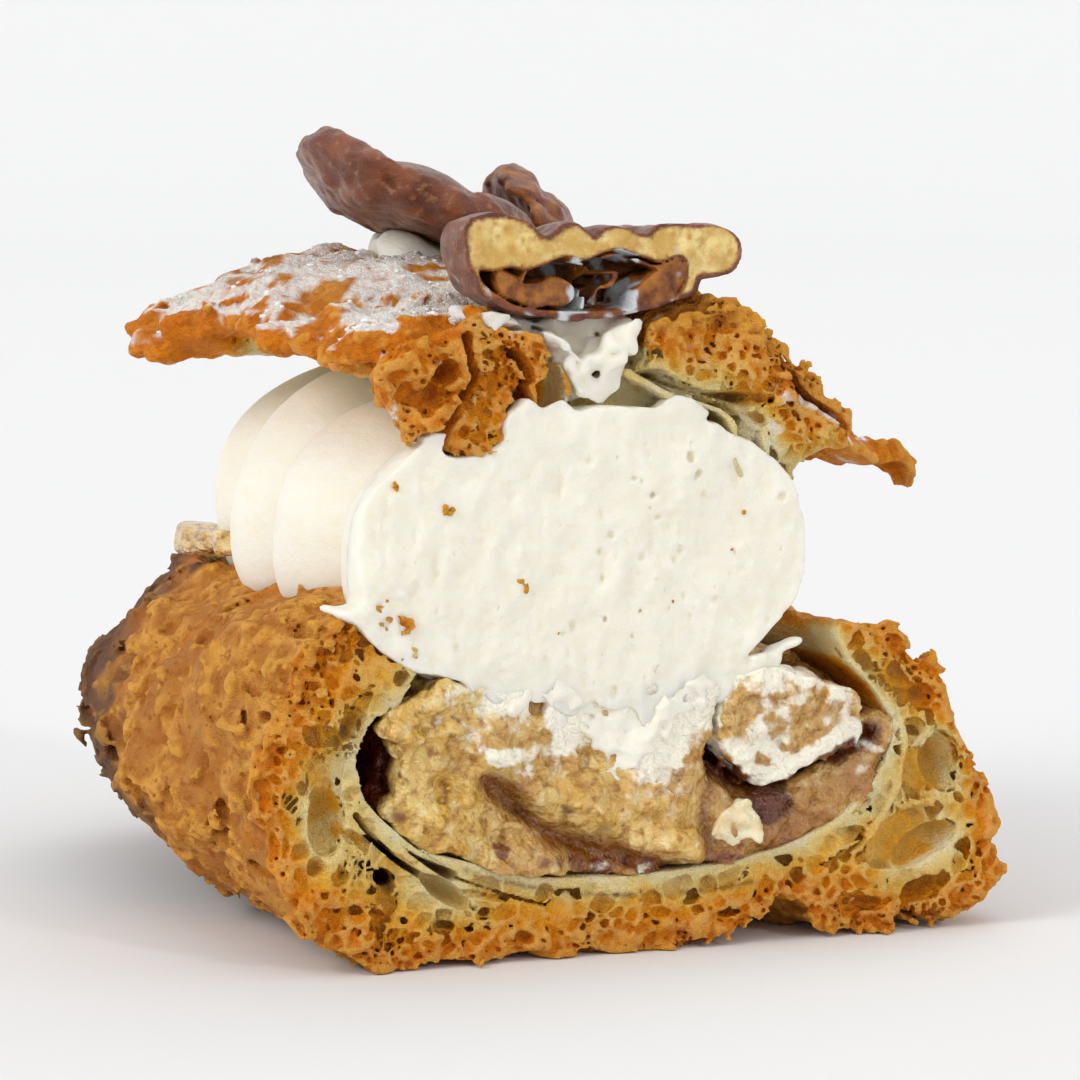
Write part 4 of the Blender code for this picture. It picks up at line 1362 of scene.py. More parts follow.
def make_far_apple():
    """A soft golden piece that rests on the rim behind."""
    block = room_for("apple_far", 0.22)
    apple = softened(block, "apple_far", 2.0, 0.9) - 0.3
    top = block.z - 23.3 - 0.3 * lumps(block, 2.6, 100)
    side = -17.6 - block.x
    apple = melt(-apple, -np.maximum(top, side), 0.9)
    return block, -apple + 0.2 * lumps(block, 2.6, 99) + 0.05 * lumps(block, 0.9, 98)


# %% [markdown]
# The finish mixes six stored masks: golden apple, rosy mash, brown that is partly painted shade in
# grooves and hollows, dark wet skin that also paints shade in a gap, dark specks and thin cream. A
# clear coat gives the small wet glints.


# %% The wet finish
def make_wet_finish():
    wet = Finish("cooked_apple", roughness=0.3, subsurface=0.15, reach_mm=(1.2, 0.7, 0.25), coat=1.0)
    wet.set(Specular_IOR_Level=0.2)
    smear = wet.value("smear")
    tan = wet.patchy((0.53, 0.27, 0.055), (0.68, 0.44, 0.14), 2.2, edge=0.2)
    gold = wet.patchy((0.66, 0.37, 0.055), (0.82, 0.59, 0.20), 1.8, edge=0.2)
    colour = wet.mix(wet.value("gold"), tan, gold)
    colour = wet.patchy(colour, (0.38, 0.16, 0.022), 0.6, 0.3, 0.12)
    pale = wet.group("patches", Size=0.9, Cover=0.22, Edge=0.1)
    colour = wet.tinted(colour, (0.84, 0.69, 0.36), pale, 0.7)
    # Brown is partly painted shade, and the skin colour also paints shade in a gap at the far left.
    for mask, tint in (
        ("rose", (0.38, 0.145, 0.03)),
        ("brown", (0.24, 0.075, 0.008)),
        ("skin", (0.10, 0.014, 0.003)),
        ("speck", (0.16, 0.03, 0.012)),
    ):
        colour = wet.mix(wet.value(mask), colour, tint)
    flecks = wet.group("patches", Size=0.55, Cover=smear, Edge=0.2)
    some = wet.math("MINIMUM", wet.math("MULTIPLY", smear, 3.0), 1.0)
    solid = wet.math("POWER", smear, 3.0)
    thin = wet.math("MAXIMUM", wet.math("MULTIPLY", flecks, some), solid)
    rough = wet.span(wet.group("patches", Size=0.9), 0.12, 0.4)
    rough = wet.math("MAXIMUM", rough, wet.math("MULTIPLY", smear, 0.5))
    wet.set(Base_Color=wet.mix(thin, colour, (0.96, 0.905, 0.76)), Roughness=rough)
    wet.set(Coat_Weight=wet.span(smear, 1.0, 0.2))
    wet.bump(wet.group("grain", Size=1.0, Fine_share=0.3), 0.7)
    return wet.material


WET_APPLE = make_wet_finish()
FACE_ROOM = Block((SHELL_LOW[0], FACE - 1.5, 0), (SHELL_HIGH[0], FACE + 6, 27), 0.2)


def share_of(values, low, high):
    return ease((values - low) / (high - low))


def paint_filling(obj, spots, node):
    """Stores the masks of the wet finish at each point."""
    x, along, z = spots[:, 0], spots[:, 1] - FACE, spots[:, 2]
    near = 1 - ease((along - 1.6) / 1.5)

    def noise(size, seed):
        return read(FACE_ROOM, lumps(FACE_ROOM, size, seed), spots)

    blotch, fine = noise(1.3, 81), noise(0.5, 82)
    streak = noise((1.0, 2.0, 1.8), 83)
    gold = np.maximum(bump_along(x, z, RIDGE, 1.2), 0.8 * bump_along(x, z, UPPER_RIDGE, 1.0))
    gold = np.maximum(gold, ease((-9.6 - x + 0.6 * blotch) / 1.6))
    far = node == "apple_far"
    paint(obj, "gold", np.clip(gold + far, 0, 1))
    # Painted shade: brown along the groove, the split and under the chunk, in the pockets and deeper behind
    # the face; more brown to the lower right, and some at random.
    brown = 1.05 * bump_along(x, z, GROOVE, 0.6) + 1.1 * bump_along(x, z, SPLIT, 0.5)
    brown = brown + 1.1 * bump_along(x, z, UNDER_CHUNK, 0.7)
    for (px, pz), wide, high in SHADED_POCKETS:
        brown = brown + 0.6 * np.exp(-(((x - px) / wide) ** 2) - ((z - pz) / high) ** 2)
    brown = brown + 0.35 * ease((along - 0.7) / 1.5) + 0.16 * blotch + 0.12 * fine
    brown = brown + 0.3 * ease((x - 1.5) / 2) * ease((9.5 - z) / 3)
    in_skin = ease((0.5 - off_outline(x, z, WET_SKIN) - 0.25 * blotch) / 0.4)
    in_nut = ease((0.2 - off_outline(x, z, CUT_NUT) - 0.1 * blotch) / 0.35)
    right = ease((x - 3.6) / 1.2) * ease((11.5 - z) / 1.5)
    brown = np.clip(brown - 0.1, 0, 0.92) * (1 - 0.75 * right * (1 - in_skin))
    paint(obj, "brown", 0 if far else brown)
    # Painted shade: the gap at the far left, behind the face, takes the dark skin colour.
    gap_shade = ease((-13.6 - x) / 1.2) * ease((along - 0.7) / 1.0) * (z < 16.5) * (1 - far)
    paint(obj, "skin", np.maximum(0.95 * in_skin * (1 - in_nut) * ease(1.0 + 0.3 * blotch), gap_shade))
    rose = np.maximum(0.85 * right, 0.5 * ease((6.8 + 0.4 * blotch - z) / 1.0) * ease((x + 6) / 2))
    paint(obj, "rose", rose * (1 - in_skin) * (1 - 0.6 * in_nut) * ease(0.7 + 0.35 * blotch))
    paint(obj, "speck", 0.8 * near * ease((fine + 1.9 * bump_along(x, z, SPECKS, 0.7) - 2.1) / 0.6))
    if far:
        paint(obj, "smear", 0)
        return
    above = z - smear_line(x)
    smear = share_of(above + 0.8 * blotch + 0.6 * streak + 0.5 * fine, -0.4, 1.3)
    rim = 1.2 * bump_along(x, z, WHITE_BLOB, 0.7)
    if node == "apple_right":
        rim = rim + 1.25 * bump_along(x, z, CHUNK_RIM, 0.75)
        smear = np.maximum(smear, share_of(above + 1.5 * fine + 1.2 * blotch, -2.0, 2.6))
    smear = np.maximum(smear, share_of(rim + 0.18 * blotch + 0.15 * fine, 0.45, 0.95))
    mist = 0.45 * share_of(above + 1.0 * blotch + 1.0 * fine, -2.2, 1.0)
    hole = np.hypot(x - ROUND_HOLE[0], z - ROUND_HOLE[1])
    smear = np.maximum(smear, mist) * near * ease((hole - 0.45) / 0.2) * ease((x + 15.2) / 1.2)
    paint(obj, "smear", smear)


for name, node, make, most_faces in (
    ("apple_compote", "compote", make_compote, 84_000),
    ("apple_left_piece", "apple_left", make_left_apple, 26_000),
    ("apple_right_piece", "apple_right", make_right_apple, 20_000),
    ("apple_far_piece", "apple_far", make_far_apple, 8_000),
    ("pecan_inside_nut", "pecan_inside", make_sunken_nut, 16_000),
):
    block, field = make()
    piece = mesh_from(block, field, name, most_faces)
    spots = dress(piece, block, field, WET_APPLE, node)
    paint_filling(piece, spots, node)


# %% [markdown]
# The knife dragged a film of cream down over the cut filling. It follows the filling's relief and
# thins out to nothing at a ragged edge, so the cream seems to melt into the apple.


# %% The film of cream over the filling
def make_cream_film():
    block = Block((-15.5, FACE - 0.9, 8.5), (5.4, FACE + 2.2, 18.5), 0.14)
    x, z = block.x, block.z
    above = z - smear_line(x) + 0.8 * lumps(block, 1.3, 85) + 1.1 * lumps(block, 0.4, 86) - 0.7
    sides = ease((x + 13.8 + 0.5 * lumps(block, 1.3, 87)) / 1.5) * ease((4.9 - x) / 1.0)
    hole = np.hypot(x - ROUND_HOLE[0], z - ROUND_HOLE[1])
    half = 0.2 * ease(above / 3.0) * sides * ease((17.6 - z) / 1.6) * ease((hole - 0.5) / 0.2) - 0.03
    half = half * (1 + 0.5 * lumps(block, 0.5, 88))
    return block, np.abs(block.y - FACE - filling_relief(block) - 0.02) - half


block, field = make_cream_film()
dress(mesh_from(block, field, "cream_film", 30_000), block, field, THIN_CREAM, None)

# %% [markdown]
# ## The lid
# The lid is the top of the same loaf, sliced off and set back on the cream. It is thinner and drier
# than the shell: its edge is torn and crumbly, its underside is pale honeycomb, and the knife broke
# its front into a hanging lump and a column on the left and a thick heel on the right. Outlines
# drawn at the face are carried back a few millimetres to add them and the sheets of pale skin.


# %% Maps of the lid: how far down from its crust, and how thick it is there
LID_LOW, LID_HIGH = box_mm("choux_lid")


def spread(values, known):
    """Fills the places beyond the lid's outline with what lies next to them."""
    values, known = np.where(known, values, 0.0), known.astype(float)
    for _ in range(24):
        total, weight = values * known, known.copy()
        for axis in (0, 1):
            for shift in (-1, 1):
                total = total + np.roll(values * known, shift, axis)
                weight = weight + np.roll(known, shift, axis)
        filled = total / np.maximum(weight, 1e-6)
        values = np.where(known > 0, values, filled)
        known = (weight > 0).astype(float)
    return values


def lid_maps():
    block = Block(LID_LOW - 4, LID_HIGH + 4, 0.5)
    lid = node_distances(block, "choux_lid", 4.0, run_on=4)
    solid = lid < 0
    known = solid.any(axis=2)
    z = block.axes[2]
    top = spread(np.where(solid, z, -99).max(axis=2), known)
    under = spread(np.where(solid, z, 99).min(axis=2), known)
    down = (top[:, :, None] - z).astype(np.float32)
    thick = np.broadcast_to((top - under)[:, :, None], down.shape).astype(np.float32)
    return block, blurred(down, 0.7, 0.5), blurred(thick, 0.7, 0.5)


LID_BLOCK, LID_DOWN, LID_THICK = lid_maps()


def lid_bake(points):
    """0 on the pale underside, 1 on the crust; thin eaves and the broken lump are baked through."""
    down, thick = read(LID_BLOCK, LID_DOWN, points), read(LID_BLOCK, LID_THICK, points)
    share = 1.02 - 0.95 * np.clip(down / np.maximum(thick, 1.5), 0, 1) ** 1.35
    thin = 0.82 * (1 - ease((thick - 1.6) / 2.0))
    x, along, z = points[:, 0], points[:, 1] - FACE, points[:, 2]
    broken = ease((-6.4 - x) / 1.2) * (1 - ease((along - 7) / 3))
    broken = broken * (0.62 + 0.2 * ease((-11.0 - x) / 1.5) + 0.1 * ease((z - 35.5) / 1.5))
    share = np.where((x < -5.8) & (x > -12.5) & (along < 5), np.minimum(share, 0.75), share)
    share = np.maximum.reduce([share, thin, broken])
    cave = (x > -6.3) & (x < 2.0) & (z < 36.4) & (along > 0.4) & (along < 7.5)
    return np.where(cave, np.minimum(share, 0.14), share)


# Forms at the face: the back of the cave under the cream, the long cave and what hangs at the right.
CAVE_BACK = (
    (-6.6, 36.4), (-6.4, 34.6), (-7.6, 33.4), (-7.0, 32.2), (-4.0, 31.9), (-1.0, 32.4), (1.8, 33.0),
    (1.2, 35.4), (-0.8, 37.0), (-3.6, 36.2),
)
LONG_CAVE = (
    (-1.4, 35.0), (0.7, 35.2), (1.5, 34.7), (3.7, 33.9), (6.1, 33.9), (7.3, 33.4), (6.4, 32.5),
    (4.0, 33.1), (1.8, 33.6), (-0.1, 34.3),
)
UNDER_WING = ((10.6, 29.2), (12.6, 30.2), (14.6, 29.6), (16.8, 28.7), (19.5, 28.0), (21.5, 22), (9.8, 22))
LID_SLOTS = (
    (((-8.7, 36.2), (-8.2, 35.7), (-7.8, 34.6), (-8.3, 33.6)), 0.3, 5.0),
    (((-11.5, 37.2), (-11.4, 35.6), (-10.9, 34.7), (-11.9, 33.2), (-12.9, 32.0)), 0.28, 5.0),
    (((5.9, 32.3), (6.2, 31.0), (6.0, 29.6)), 0.4, 2.5),
    (((8.5, 35.6), (10.5, 33.2), (12.0, 32.2), (13.2, 31.0), (14.2, 29.4)), 0.2, 5.0),
)
LID_HOLES = (
    ((-12.9, 35.1), (0.9, 2.6, 0.7), -0.6),
    ((-13.6, 33.9), (0.6, 2.0, 0.9), 0.2),
    ((-14.2, 33.4), (0.5, 1.4, 0.9), 0.0),
    ((-10.6, 33.0), (0.42, 1.3, 0.7), 0.4),
    ((-11.7, 31.6), (0.5, 1.2, 0.45), 0.0),
    ((-9.8, 34.4), (0.4, 1.4, 0.9), 0.3),
    ((-10.0, 36.0), (0.7, 1.0, 0.3), 0.3),
    ((-6.5, 35.6), (0.4, 1.2, 0.35), 0.0),
    ((7.3, 31.9), (0.5, 1.2, 0.4), 0.3),
)
PALE_SHEETS = (
    (((-7.5, 34.2), (-7.2, 33.0), (-7.5, 32.0)), 0.15, 0.3, 3.0),
    (((-5.7, 35.4), (-5.2, 34.0), (-5.6, 32.4)), 0.15, 0.3, 3.0),
    (
        ((-1.4, 34.9), (0.0, 34.2), (1.7, 33.3), (4.6, 32.5), (5.6, 31.2), (5.5, 29.8), (6.0, 28.6)),
        0.17, 0.2, 4.5,
    ),
    (((1.6, 33.2), (3.0, 32.0), (4.4, 31.6)), 0.14, 0.3, 3.0),
    (((7.6, 31.0), (7.9, 29.2), (8.6, 27.7)), 0.2, 0.2, 2.5),
)


def lid_clay(block, run_on, seed=111):
    lid = softened(block, "choux_lid", 2.2, 0.3, run_on)
    lid = pushed(block, lid, -1.0 * ease((-13 - block.x) / 6))
    down = moved_to(block, LID_DOWN, LID_BLOCK)
    thick = moved_to(block, LID_THICK, LID_BLOCK)
    # The wing at the far left thins out to its tip.
    wing = down - 1.0 - 0.5 * np.maximum(block.x + 21.5, 0)
    lid = np.maximum(lid, np.where(block.x < -14, wing, -9))
    on_top = 1 - ease((down - 0.3) / 1.0)
    torn = 1 - ease((thick - 2.2) / 2.2)
    along = block.y - FACE
    near = 1 - ease((along - 9) / 6)
    left = ease((-7.5 - block.x) / 4) * (1 - ease((along - 10) / 8))
    right = ease((block.x - 1.0) / 3.0) * near
    coarse = 0.2 * lumps(block, 2.6, seed) + 0.15 * lumps(block, 1.2, seed + 1)
    fine = 0.11 * lumps(block, 0.6, seed + 2) + 0.07 * lumps(block, 0.33, seed + 12)
    broken = lumps(block, 1.5, seed + 3) + 0.6 * lumps(block, 0.75, seed + 4)
    flakes = 0.3 * ease((broken - 0.7) / 0.5)
    grains = np.maximum(lumps(block, 0.62, seed + 5), 0.2) - 0.2
    lid = lid + coarse * (0.5 + 0.7 * torn + 0.9 * left) + fine * (0.6 + 0.6 * right + 0.6 * left)
    lid = lid + flakes * on_top - (0.1 + 0.16 * right) * grains
    lid = np.maximum(lid, -extruded(block, UNDER_WING, -2.0, 14.0, 0.0) + 0.2 * lumps(block, 0.9, seed + 6))
    for outline, start, back, soft in (
        (LID_LUMP, -1.0, 5.5, 0.9),
        (LID_COLUMN, -1.0, 4.6, 0.8),
        (CAVE_BACK, 2.6, 6.5, 0.0),
    ):
        form = extruded(block, outline, start, back, soft)
        if outline is not CAVE_BACK:
            form = form + 0.8 * coarse + 1.2 * fine
        lid = np.minimum(lid, form)
    lid = np.maximum(lid, -extruded(block, LONG_CAVE, -1.0, 3.4, 0.5))
    return carved(block, lid, LID_HOLES, LID_SLOTS)


def lid_bubbles(block, lid, count, seed):
    """Bubbles open at the face and, fewer, along the torn edge and the underside."""
    rng = np.random.default_rng(seed)
    draws = rng.random((count * DRAWS_PER_BUBBLE, 7))
    depth = np.where(draws[:, 4] < 0.7, draws[:, 1] * 1.3 - 0.3, draws[:, 1] * 46)
    spots = spots_between(LID_LOW, LID_HIGH, draws, FACE + depth)
    inside = read(block, lid, spots)
    down = read(LID_BLOCK, LID_DOWN, spots)
    at_face = depth < 1.0
    x, z = spots[:, 0], spots[:, 2]
    hanging = (np.minimum(off_outline(x, z, LID_LUMP), off_outline(x, z, LID_COLUMN)) < 0) & (depth < 5)
    fits = np.where(at_face, inside < -0.1, (inside > -0.3) & (inside < 0.1) & (down > 0.9)) | hanging
    spots, draws, inside = spots[fits], draws[fits], inside[fits]
    share = lid_bake(spots)
    largest = np.interp(share, (0.0, 0.25, 0.6, 1.0), (0.7, 0.6, 0.4, 0.2))
    sizes = np.maximum(largest * (0.3 + 0.7 * draws[:, 3] ** 2), 0.15)
    # The layers of the crumb run along the slope of the lid.
    slope = np.interp(spots[:, 0], (-12, -6, 0, 8, 14), (-0.9, -0.4, -0.1, -0.75, -0.6))
    lean = slope + 0.5 * (draws[:, 5] - 0.5)
    longer = 1.1 + 1.3 * draws[:, 6] ** 1.3
    kept = packed_bubbles(spots, sizes, count)
    return [(spots[n], float(sizes[n]), float(longer[n]), float(lean[n])) for n in kept]


LID_SPLIT = 7.0
LID_FIELD = node_distances(LID_BLOCK, "choux_lid", 4.0, run_on=4)
LID_BUBBLES = lid_bubbles(LID_BLOCK, LID_FIELD, 3200, 121)
print("lid bubbles:", len(LID_BUBBLES))


def make_lid_front():
    low = (LID_LOW[0] - 2.2, FACE - 0.7, LID_LOW[2] - 1)
    block = Block(low, (LID_HIGH[0] + 1, FACE + 7.4, LID_HIGH[2] + 0.5), 0.145)
    lid = lid_clay(block, run_on=3)
    ragged = 0.2 + 0.2 * lumps(block, 0.45, 131) + 0.35 * lumps(block, 1.4, 132)
    ragged = ragged + 0.1 * lumps(block, 0.28, 135)
    lid = cut_at_face(block, lid, ragged)
    thin = 0.15 + 0.05 * lumps(block, 1.2, 136)
    lid = np.maximum(lid, -foam(block, LID_BUBBLES, thin, wall_bend(block, 137)))
    for points, half_thick, start, depth in PALE_SHEETS:
        pale = sheet(block, points, half_thick, start, depth) + 0.06 * lumps(block, 0.8, 133)
        lid = np.minimum(lid, pale)
    return block, np.maximum(lid, block.y - (FACE + LID_SPLIT))


def make_lid_back():
    start = FACE + LID_SPLIT - 0.2
    low = (LID_LOW[0] - 2.2, start - 0.5, LID_LOW[2] + 2)
    block = Block(low, LID_HIGH + 1, 0.23)
    lid = lid_clay(block, run_on=0)
    lid = np.maximum(lid, -foam(block, LID_BUBBLES, 0.2, wall_bend(block, 137)))
    return block, np.maximum(lid, start - block.y)


# %% [markdown]
# ### Icing sugar
# Sugar was sifted over the lid. It stays where the crust is level, in patches, and slides off steep
# sides. The mask below is read by the choux finish, and loose clumps of sugar are added on it later.


# %% Where the sugar lies
def sugar_share(points, normals):
    block = LID_BLOCK
    drift = read(block, lumps(block, (2.6, 3.4, 6), 141) + 0.6 * lumps(block, (1.1, 1.5, 3), 142), points)
    fine = read(block, lumps(block, 0.55, 143), points)
    x, along = points[:, 0], points[:, 1] - FACE
    left = ease((1.5 - x) / 4.0) * ease((along - 1.2 - 0.18 * (x + 14)) / 2.0)
    level = ease((normals[:, 2] - 0.35) / 0.4) * ease((1.6 - read(block, LID_DOWN, points)) / 0.6)
    rim = 1 - ease((np.abs(x + 4) - 14.5) / 2.5)
    amount = left * level * rim
    crack = bump_along(x, points[:, 2], ((10.2, 33.0), (12.0, 32.1), (13.4, 30.9), (14.4, 29.3)), 0.35)
    crack = crack * (along < 6) * (normals[:, 2] > 0)
    sifted = ease((drift + 1.3 * fine + 2.6 * amount - 1.15) / 1.2) * ease(amount * 2.5)
    return np.maximum(sifted, 0.9 * ease((crack + 0.3 * fine - 0.4) / 0.3))


LID_TOP = {}
for name, make, most_faces in (
    ("lid_broken_front", make_lid_front, 150_000),
    ("lid_crust", make_lid_back, 80_000),
):
    block, field = make()
    piece = mesh_from(block, field, name, most_faces)
    spots = dress(piece, block, field, CHOUX, "choux_lid")
    share, normals = lid_bake(spots), point_values(piece.data, "normal")
    paint(piece, "bake_and_glow", share)
    whole = ease((share - 0.86) / 0.1) * ease((read(LID_BLOCK, LID_THICK, spots) - 1.4) / 1.5)
    hang = ease((-7.0 - spots[:, 0]) / 2) * (1 - ease((spots[:, 1] - FACE - 4) / 3))
    paint(piece, "crust", 0.7 * whole * (1 - hang))
    back_ridge = ease((spots[:, 1] - LID_HIGH[1] + 7) / 4) * ease((share - 0.7) / 0.2)
    paint(piece, "darkened_and_shade", 0.55 * back_ridge)
    paint(piece, "hollow_shade", 0)
    sugar = sugar_share(spots, normals)
    paint(piece, "sugar", sugar)
    on_top = (normals[:, 2] > 0.3) & (read(LID_BLOCK, LID_DOWN, spots) < 0.8)
    LID_TOP[name] = spots[(sugar > 0.5) & on_top]
    print(name, "points under sugar:", len(LID_TOP[name]))

# %% [markdown]
# ## Cream under the pecans
# A dab of cream was squeezed into the crack in the lid and up against the cut pecan. At the face it
# shows as a V with a tongue hanging below it. A second dab holds the nuts at the back.

# %% Dabs of cream
DAB_V = (
    (((-10.4, 38.3), (-8.4, 37.9), (-6.4, 37.2), (-5.0, 36.1), (-4.1, 35.2)), 0.5, 5.0),
    (((-4.2, 35.2), (-3.0, 35.8), (-1.9, 36.9), (-1.0, 37.8)), 0.5, 5.0),
    (((-5.2, 35.4), (-4.5, 34.5), (-3.6, 34.0)), 0.55, 2.6),
    (((-3.9, 34.3), (-2.8, 34.2), (-2.1, 35.0), (-1.9, 36.2)), 0.62, 2.6),
)
DAB_ROOM = (
    (-10.6, 38.4), (-8.4, 38.0), (-6.2, 37.3), (-4.8, 36.0), (-3.4, 35.8), (-1.6, 37.2), (0.2, 38.0),
    (0.6, 39.6), (-10.8, 39.6),
)


def make_front_dab():
    low, high = box_mm("cream_dab_front")
    corner = (high[0] + 1.5, high[1] + 1, high[2] + 1.2)
    block = Block((low[0] - 1.5, FACE - 0.8, low[2] - 0.5), corner, 0.15)
    solid = softened(block, "cream_dab_front", 2.0, 0.4) - 0.2
    filling = np.maximum(solid, off_outline(block.x, block.z, DAB_ROOM))
    filling = np.maximum(filling, FACE + 2.6 + 0.4 * lumps(block, 1.2, 150) - block.y)
    for points, half_thick, depth in DAB_V:
        band = sheet(block, points, half_thick, -1.0, depth)
        filling = melt(filling, band, 0.5)
    filling = filling + 0.2 * lumps(block, 1.1, 151) + 0.13 * lumps(block, 0.5, 152) + 0.08
    relief = 0.15 + 0.25 * lumps(block, 1.3, 153) + 0.13 * lumps(block, 0.5, 154)
    return block, cut_at_face(block, filling, relief)


def make_back_dab():
    block = room_for("cream_dab_back", 0.2)
    dab = softened(block, "cream_dab_back", 2.0, 0.5) - 0.15
    return block, dab + 0.15 * lumps(block, 2.2, 155) + 0.05 * lumps(block, 0.8, 156)


for node, make in (("cream_dab_front", make_front_dab), ("cream_dab_back", make_back_dab)):
    block, field = make()
    dress(mesh_from(block, field, node + "_piece", 9_000), block, field, CREAM, node)

# %% [markdown]
# ## The pecans
# A pecan half has a wrinkled brown skin, two long grooves on its back and pale flesh. The knife cut
# the front one across: its flesh is a wavy band that hangs over a hollow, where papery amber skin
# is folded and a little starch clings. The section is drawn at the face and shrinks towards the tip.

# %% The cut pecan
NUT_OUTLINE = (
    (-11.7, 42.9), (-11.5, 43.8), (-10.9, 44.1), (-9.6, 44.2), (-8.3, 44.0), (-7.4, 43.5), (-6.8, 42.9),
    (-6.1, 43.1), (-5.5, 43.5), (-4.7, 43.7), (-4.1, 43.3), (-3.5, 42.9), (-3.0, 43.4), (-2.3, 43.6),
    (-1.5, 43.5), (-0.7, 43.1), (0.0, 43.1), (0.5, 43.5), (1.4, 43.7), (2.7, 43.6), (3.8, 43.7),
    (4.8, 43.6), (5.5, 43.1), (5.8, 42.3), (5.7, 41.5), (5.1, 40.8), (4.1, 40.6), (3.2, 40.5),
    (2.8, 39.7), (1.8, 39.1), (0.0, 38.6), (-2.0, 38.3), (-4.7, 38.1), (-7.4, 38.3), (-9.4, 38.8),
    (-10.6, 39.6), (-11.1, 40.5), (-11.6, 41.6),
)
NUT_HOLLOW = (
    (-10.8, 41.0), (-10.0, 40.95), (-8.9, 41.15), (-7.9, 41.0), (-6.6, 41.4), (-5.4, 41.75),
    (-4.2, 41.5), (-3.0, 42.0), (-2.0, 42.15), (-0.7, 41.8), (0.6, 41.4), (1.9, 41.75), (2.35, 41.0),
    (2.1, 39.9), (1.0, 39.15), (-1.4, 38.75), (-4.7, 38.55), (-8.1, 38.85), (-9.6, 39.5), (-10.6, 40.3),
)
NUT_LOBES = (
    ((-9.7, 40.9), (-8.4, 40.8), (-7.9, 40.3), (-6.6, 40.5), (-5.1, 40.2), (-4.9, 39.3), (-6.1, 38.8),
     (-8.3, 38.9), (-9.5, 39.6)),
    ((-1.1, 39.9), (-0.1, 40.9), (1.1, 41.3), (2.3, 41.6), (2.5, 41.0), (2.2, 39.7), (1.0, 38.9),
     (-1.2, 38.5)),
)
NUT_SHEETS = (
    ((-8.2, 40.3), (-7.7, 41.2), (-6.6, 41.45), (-5.5, 41.6), (-4.2, 41.3), (-3.7, 40.9), (-3.0, 40.8),
     (-2.2, 40.8), (-2.6, 40.1), (-3.4, 39.9), (-3.6, 39.0)),
    ((-3.1, 41.7), (-2.0, 41.9), (-0.7, 41.5), (0.6, 41.15), (2.4, 41.8)),
    ((-4.3, 41.4), (-4.1, 40.2), (-4.4, 38.8)),
)
NUT_LENGTH = 13.4


def shrinking(block, section, middle, length):
    """Sweeps a section back from the face while it shrinks about its middle, like a nut's tip."""
    swept = block.full(FAR)
    for j, y in enumerate(block.axes[1]):
        along = max(y - FACE, 0.0)
        if along >= length * 0.995:
            continue
        scale = (1 - (along / length) ** 2.3) ** 0.5
        across = linear_matrix(middle[0] + (block.axes[0] - middle[0]) / scale, block, 0)
        up = linear_matrix(middle[1] + (block.axes[2] - middle[1]) / scale, block, 2)
        swept[:, j, :] = (across @ section @ up.T) * scale
    return swept


def wrinkles(block, size, seed):
    """Creases that run lengthwise and meet, as on a dried skin."""
    folded = np.abs(lumps(block, (size, size * 2.2, size), seed))
    return 0.5 - folded + 0.25 * lumps(block, size * 0.5, seed + 1)


def make_cut_pecan():
    low, high = box_mm("pecan_front")
    block = Block((low[0] - 1, FACE - 0.7, low[2] - 1), (high[0] + 1, high[1] + 1, high[2] + 1), 0.13)
    outline = off_outline(block.x, block.z, NUT_OUTLINE)
    nut = shrinking(block, outline[:, 0, :], (-3.2, 41.2), NUT_LENGTH)
    nut = nut + 0.14 * wrinkles(block, 1.3, 161)
    hollow = off_outline(block.x, block.z, NUT_HOLLOW)
    along = block.y - FACE
    air = np.maximum(hollow + 0.25 * ease(along / 4), along - 4.5 - 0.4 * lumps(block, 1.5, 163))
    for lobe in NUT_LOBES:
        solid = off_outline(block.x, block.z, lobe) + 0.2 * ease((0.9 - along) / 0.8)
        air = np.maximum(air, -(solid + 0.12 * lumps(block, 0.7, 164)))
    for points in NUT_SHEETS:
        wall = sheet(block, points, 0.09, 0.3, 9.0) + 0.05 * lumps(block, 0.8, 165)
        air = np.maximum(air, -wall)
    nut = np.maximum(nut, -air)
    relief = 0.25 + 0.1 * lumps(block, 1.1, 166) + 0.04 * lumps(block, 0.4, 167)
    return block, cut_at_face(block, nut, relief), outline, hollow


def make_whole_pecan(node, seed):
    block = room_for(node, 0.17)
    nut = softened(block, node, 2.6, 0.35)
    if node == "pecan_tipped":
        # Seen from its thin side, this half tapers to its left end.
        middle = 46.9 - 0.36 * (block.x + 8)
        nut = nut + 1.5 * ease((-4.5 - block.x) / 8) * ease((middle - block.z) / 1.6)
        nut = nut + 1.7 * ease((block.x + 11.5) / 3) * ease((block.z - middle) / 1.6)
    return block, nut + 0.16 * wrinkles(block, 1.5, seed) + 0.07 * lumps(block, 0.6, seed + 5)


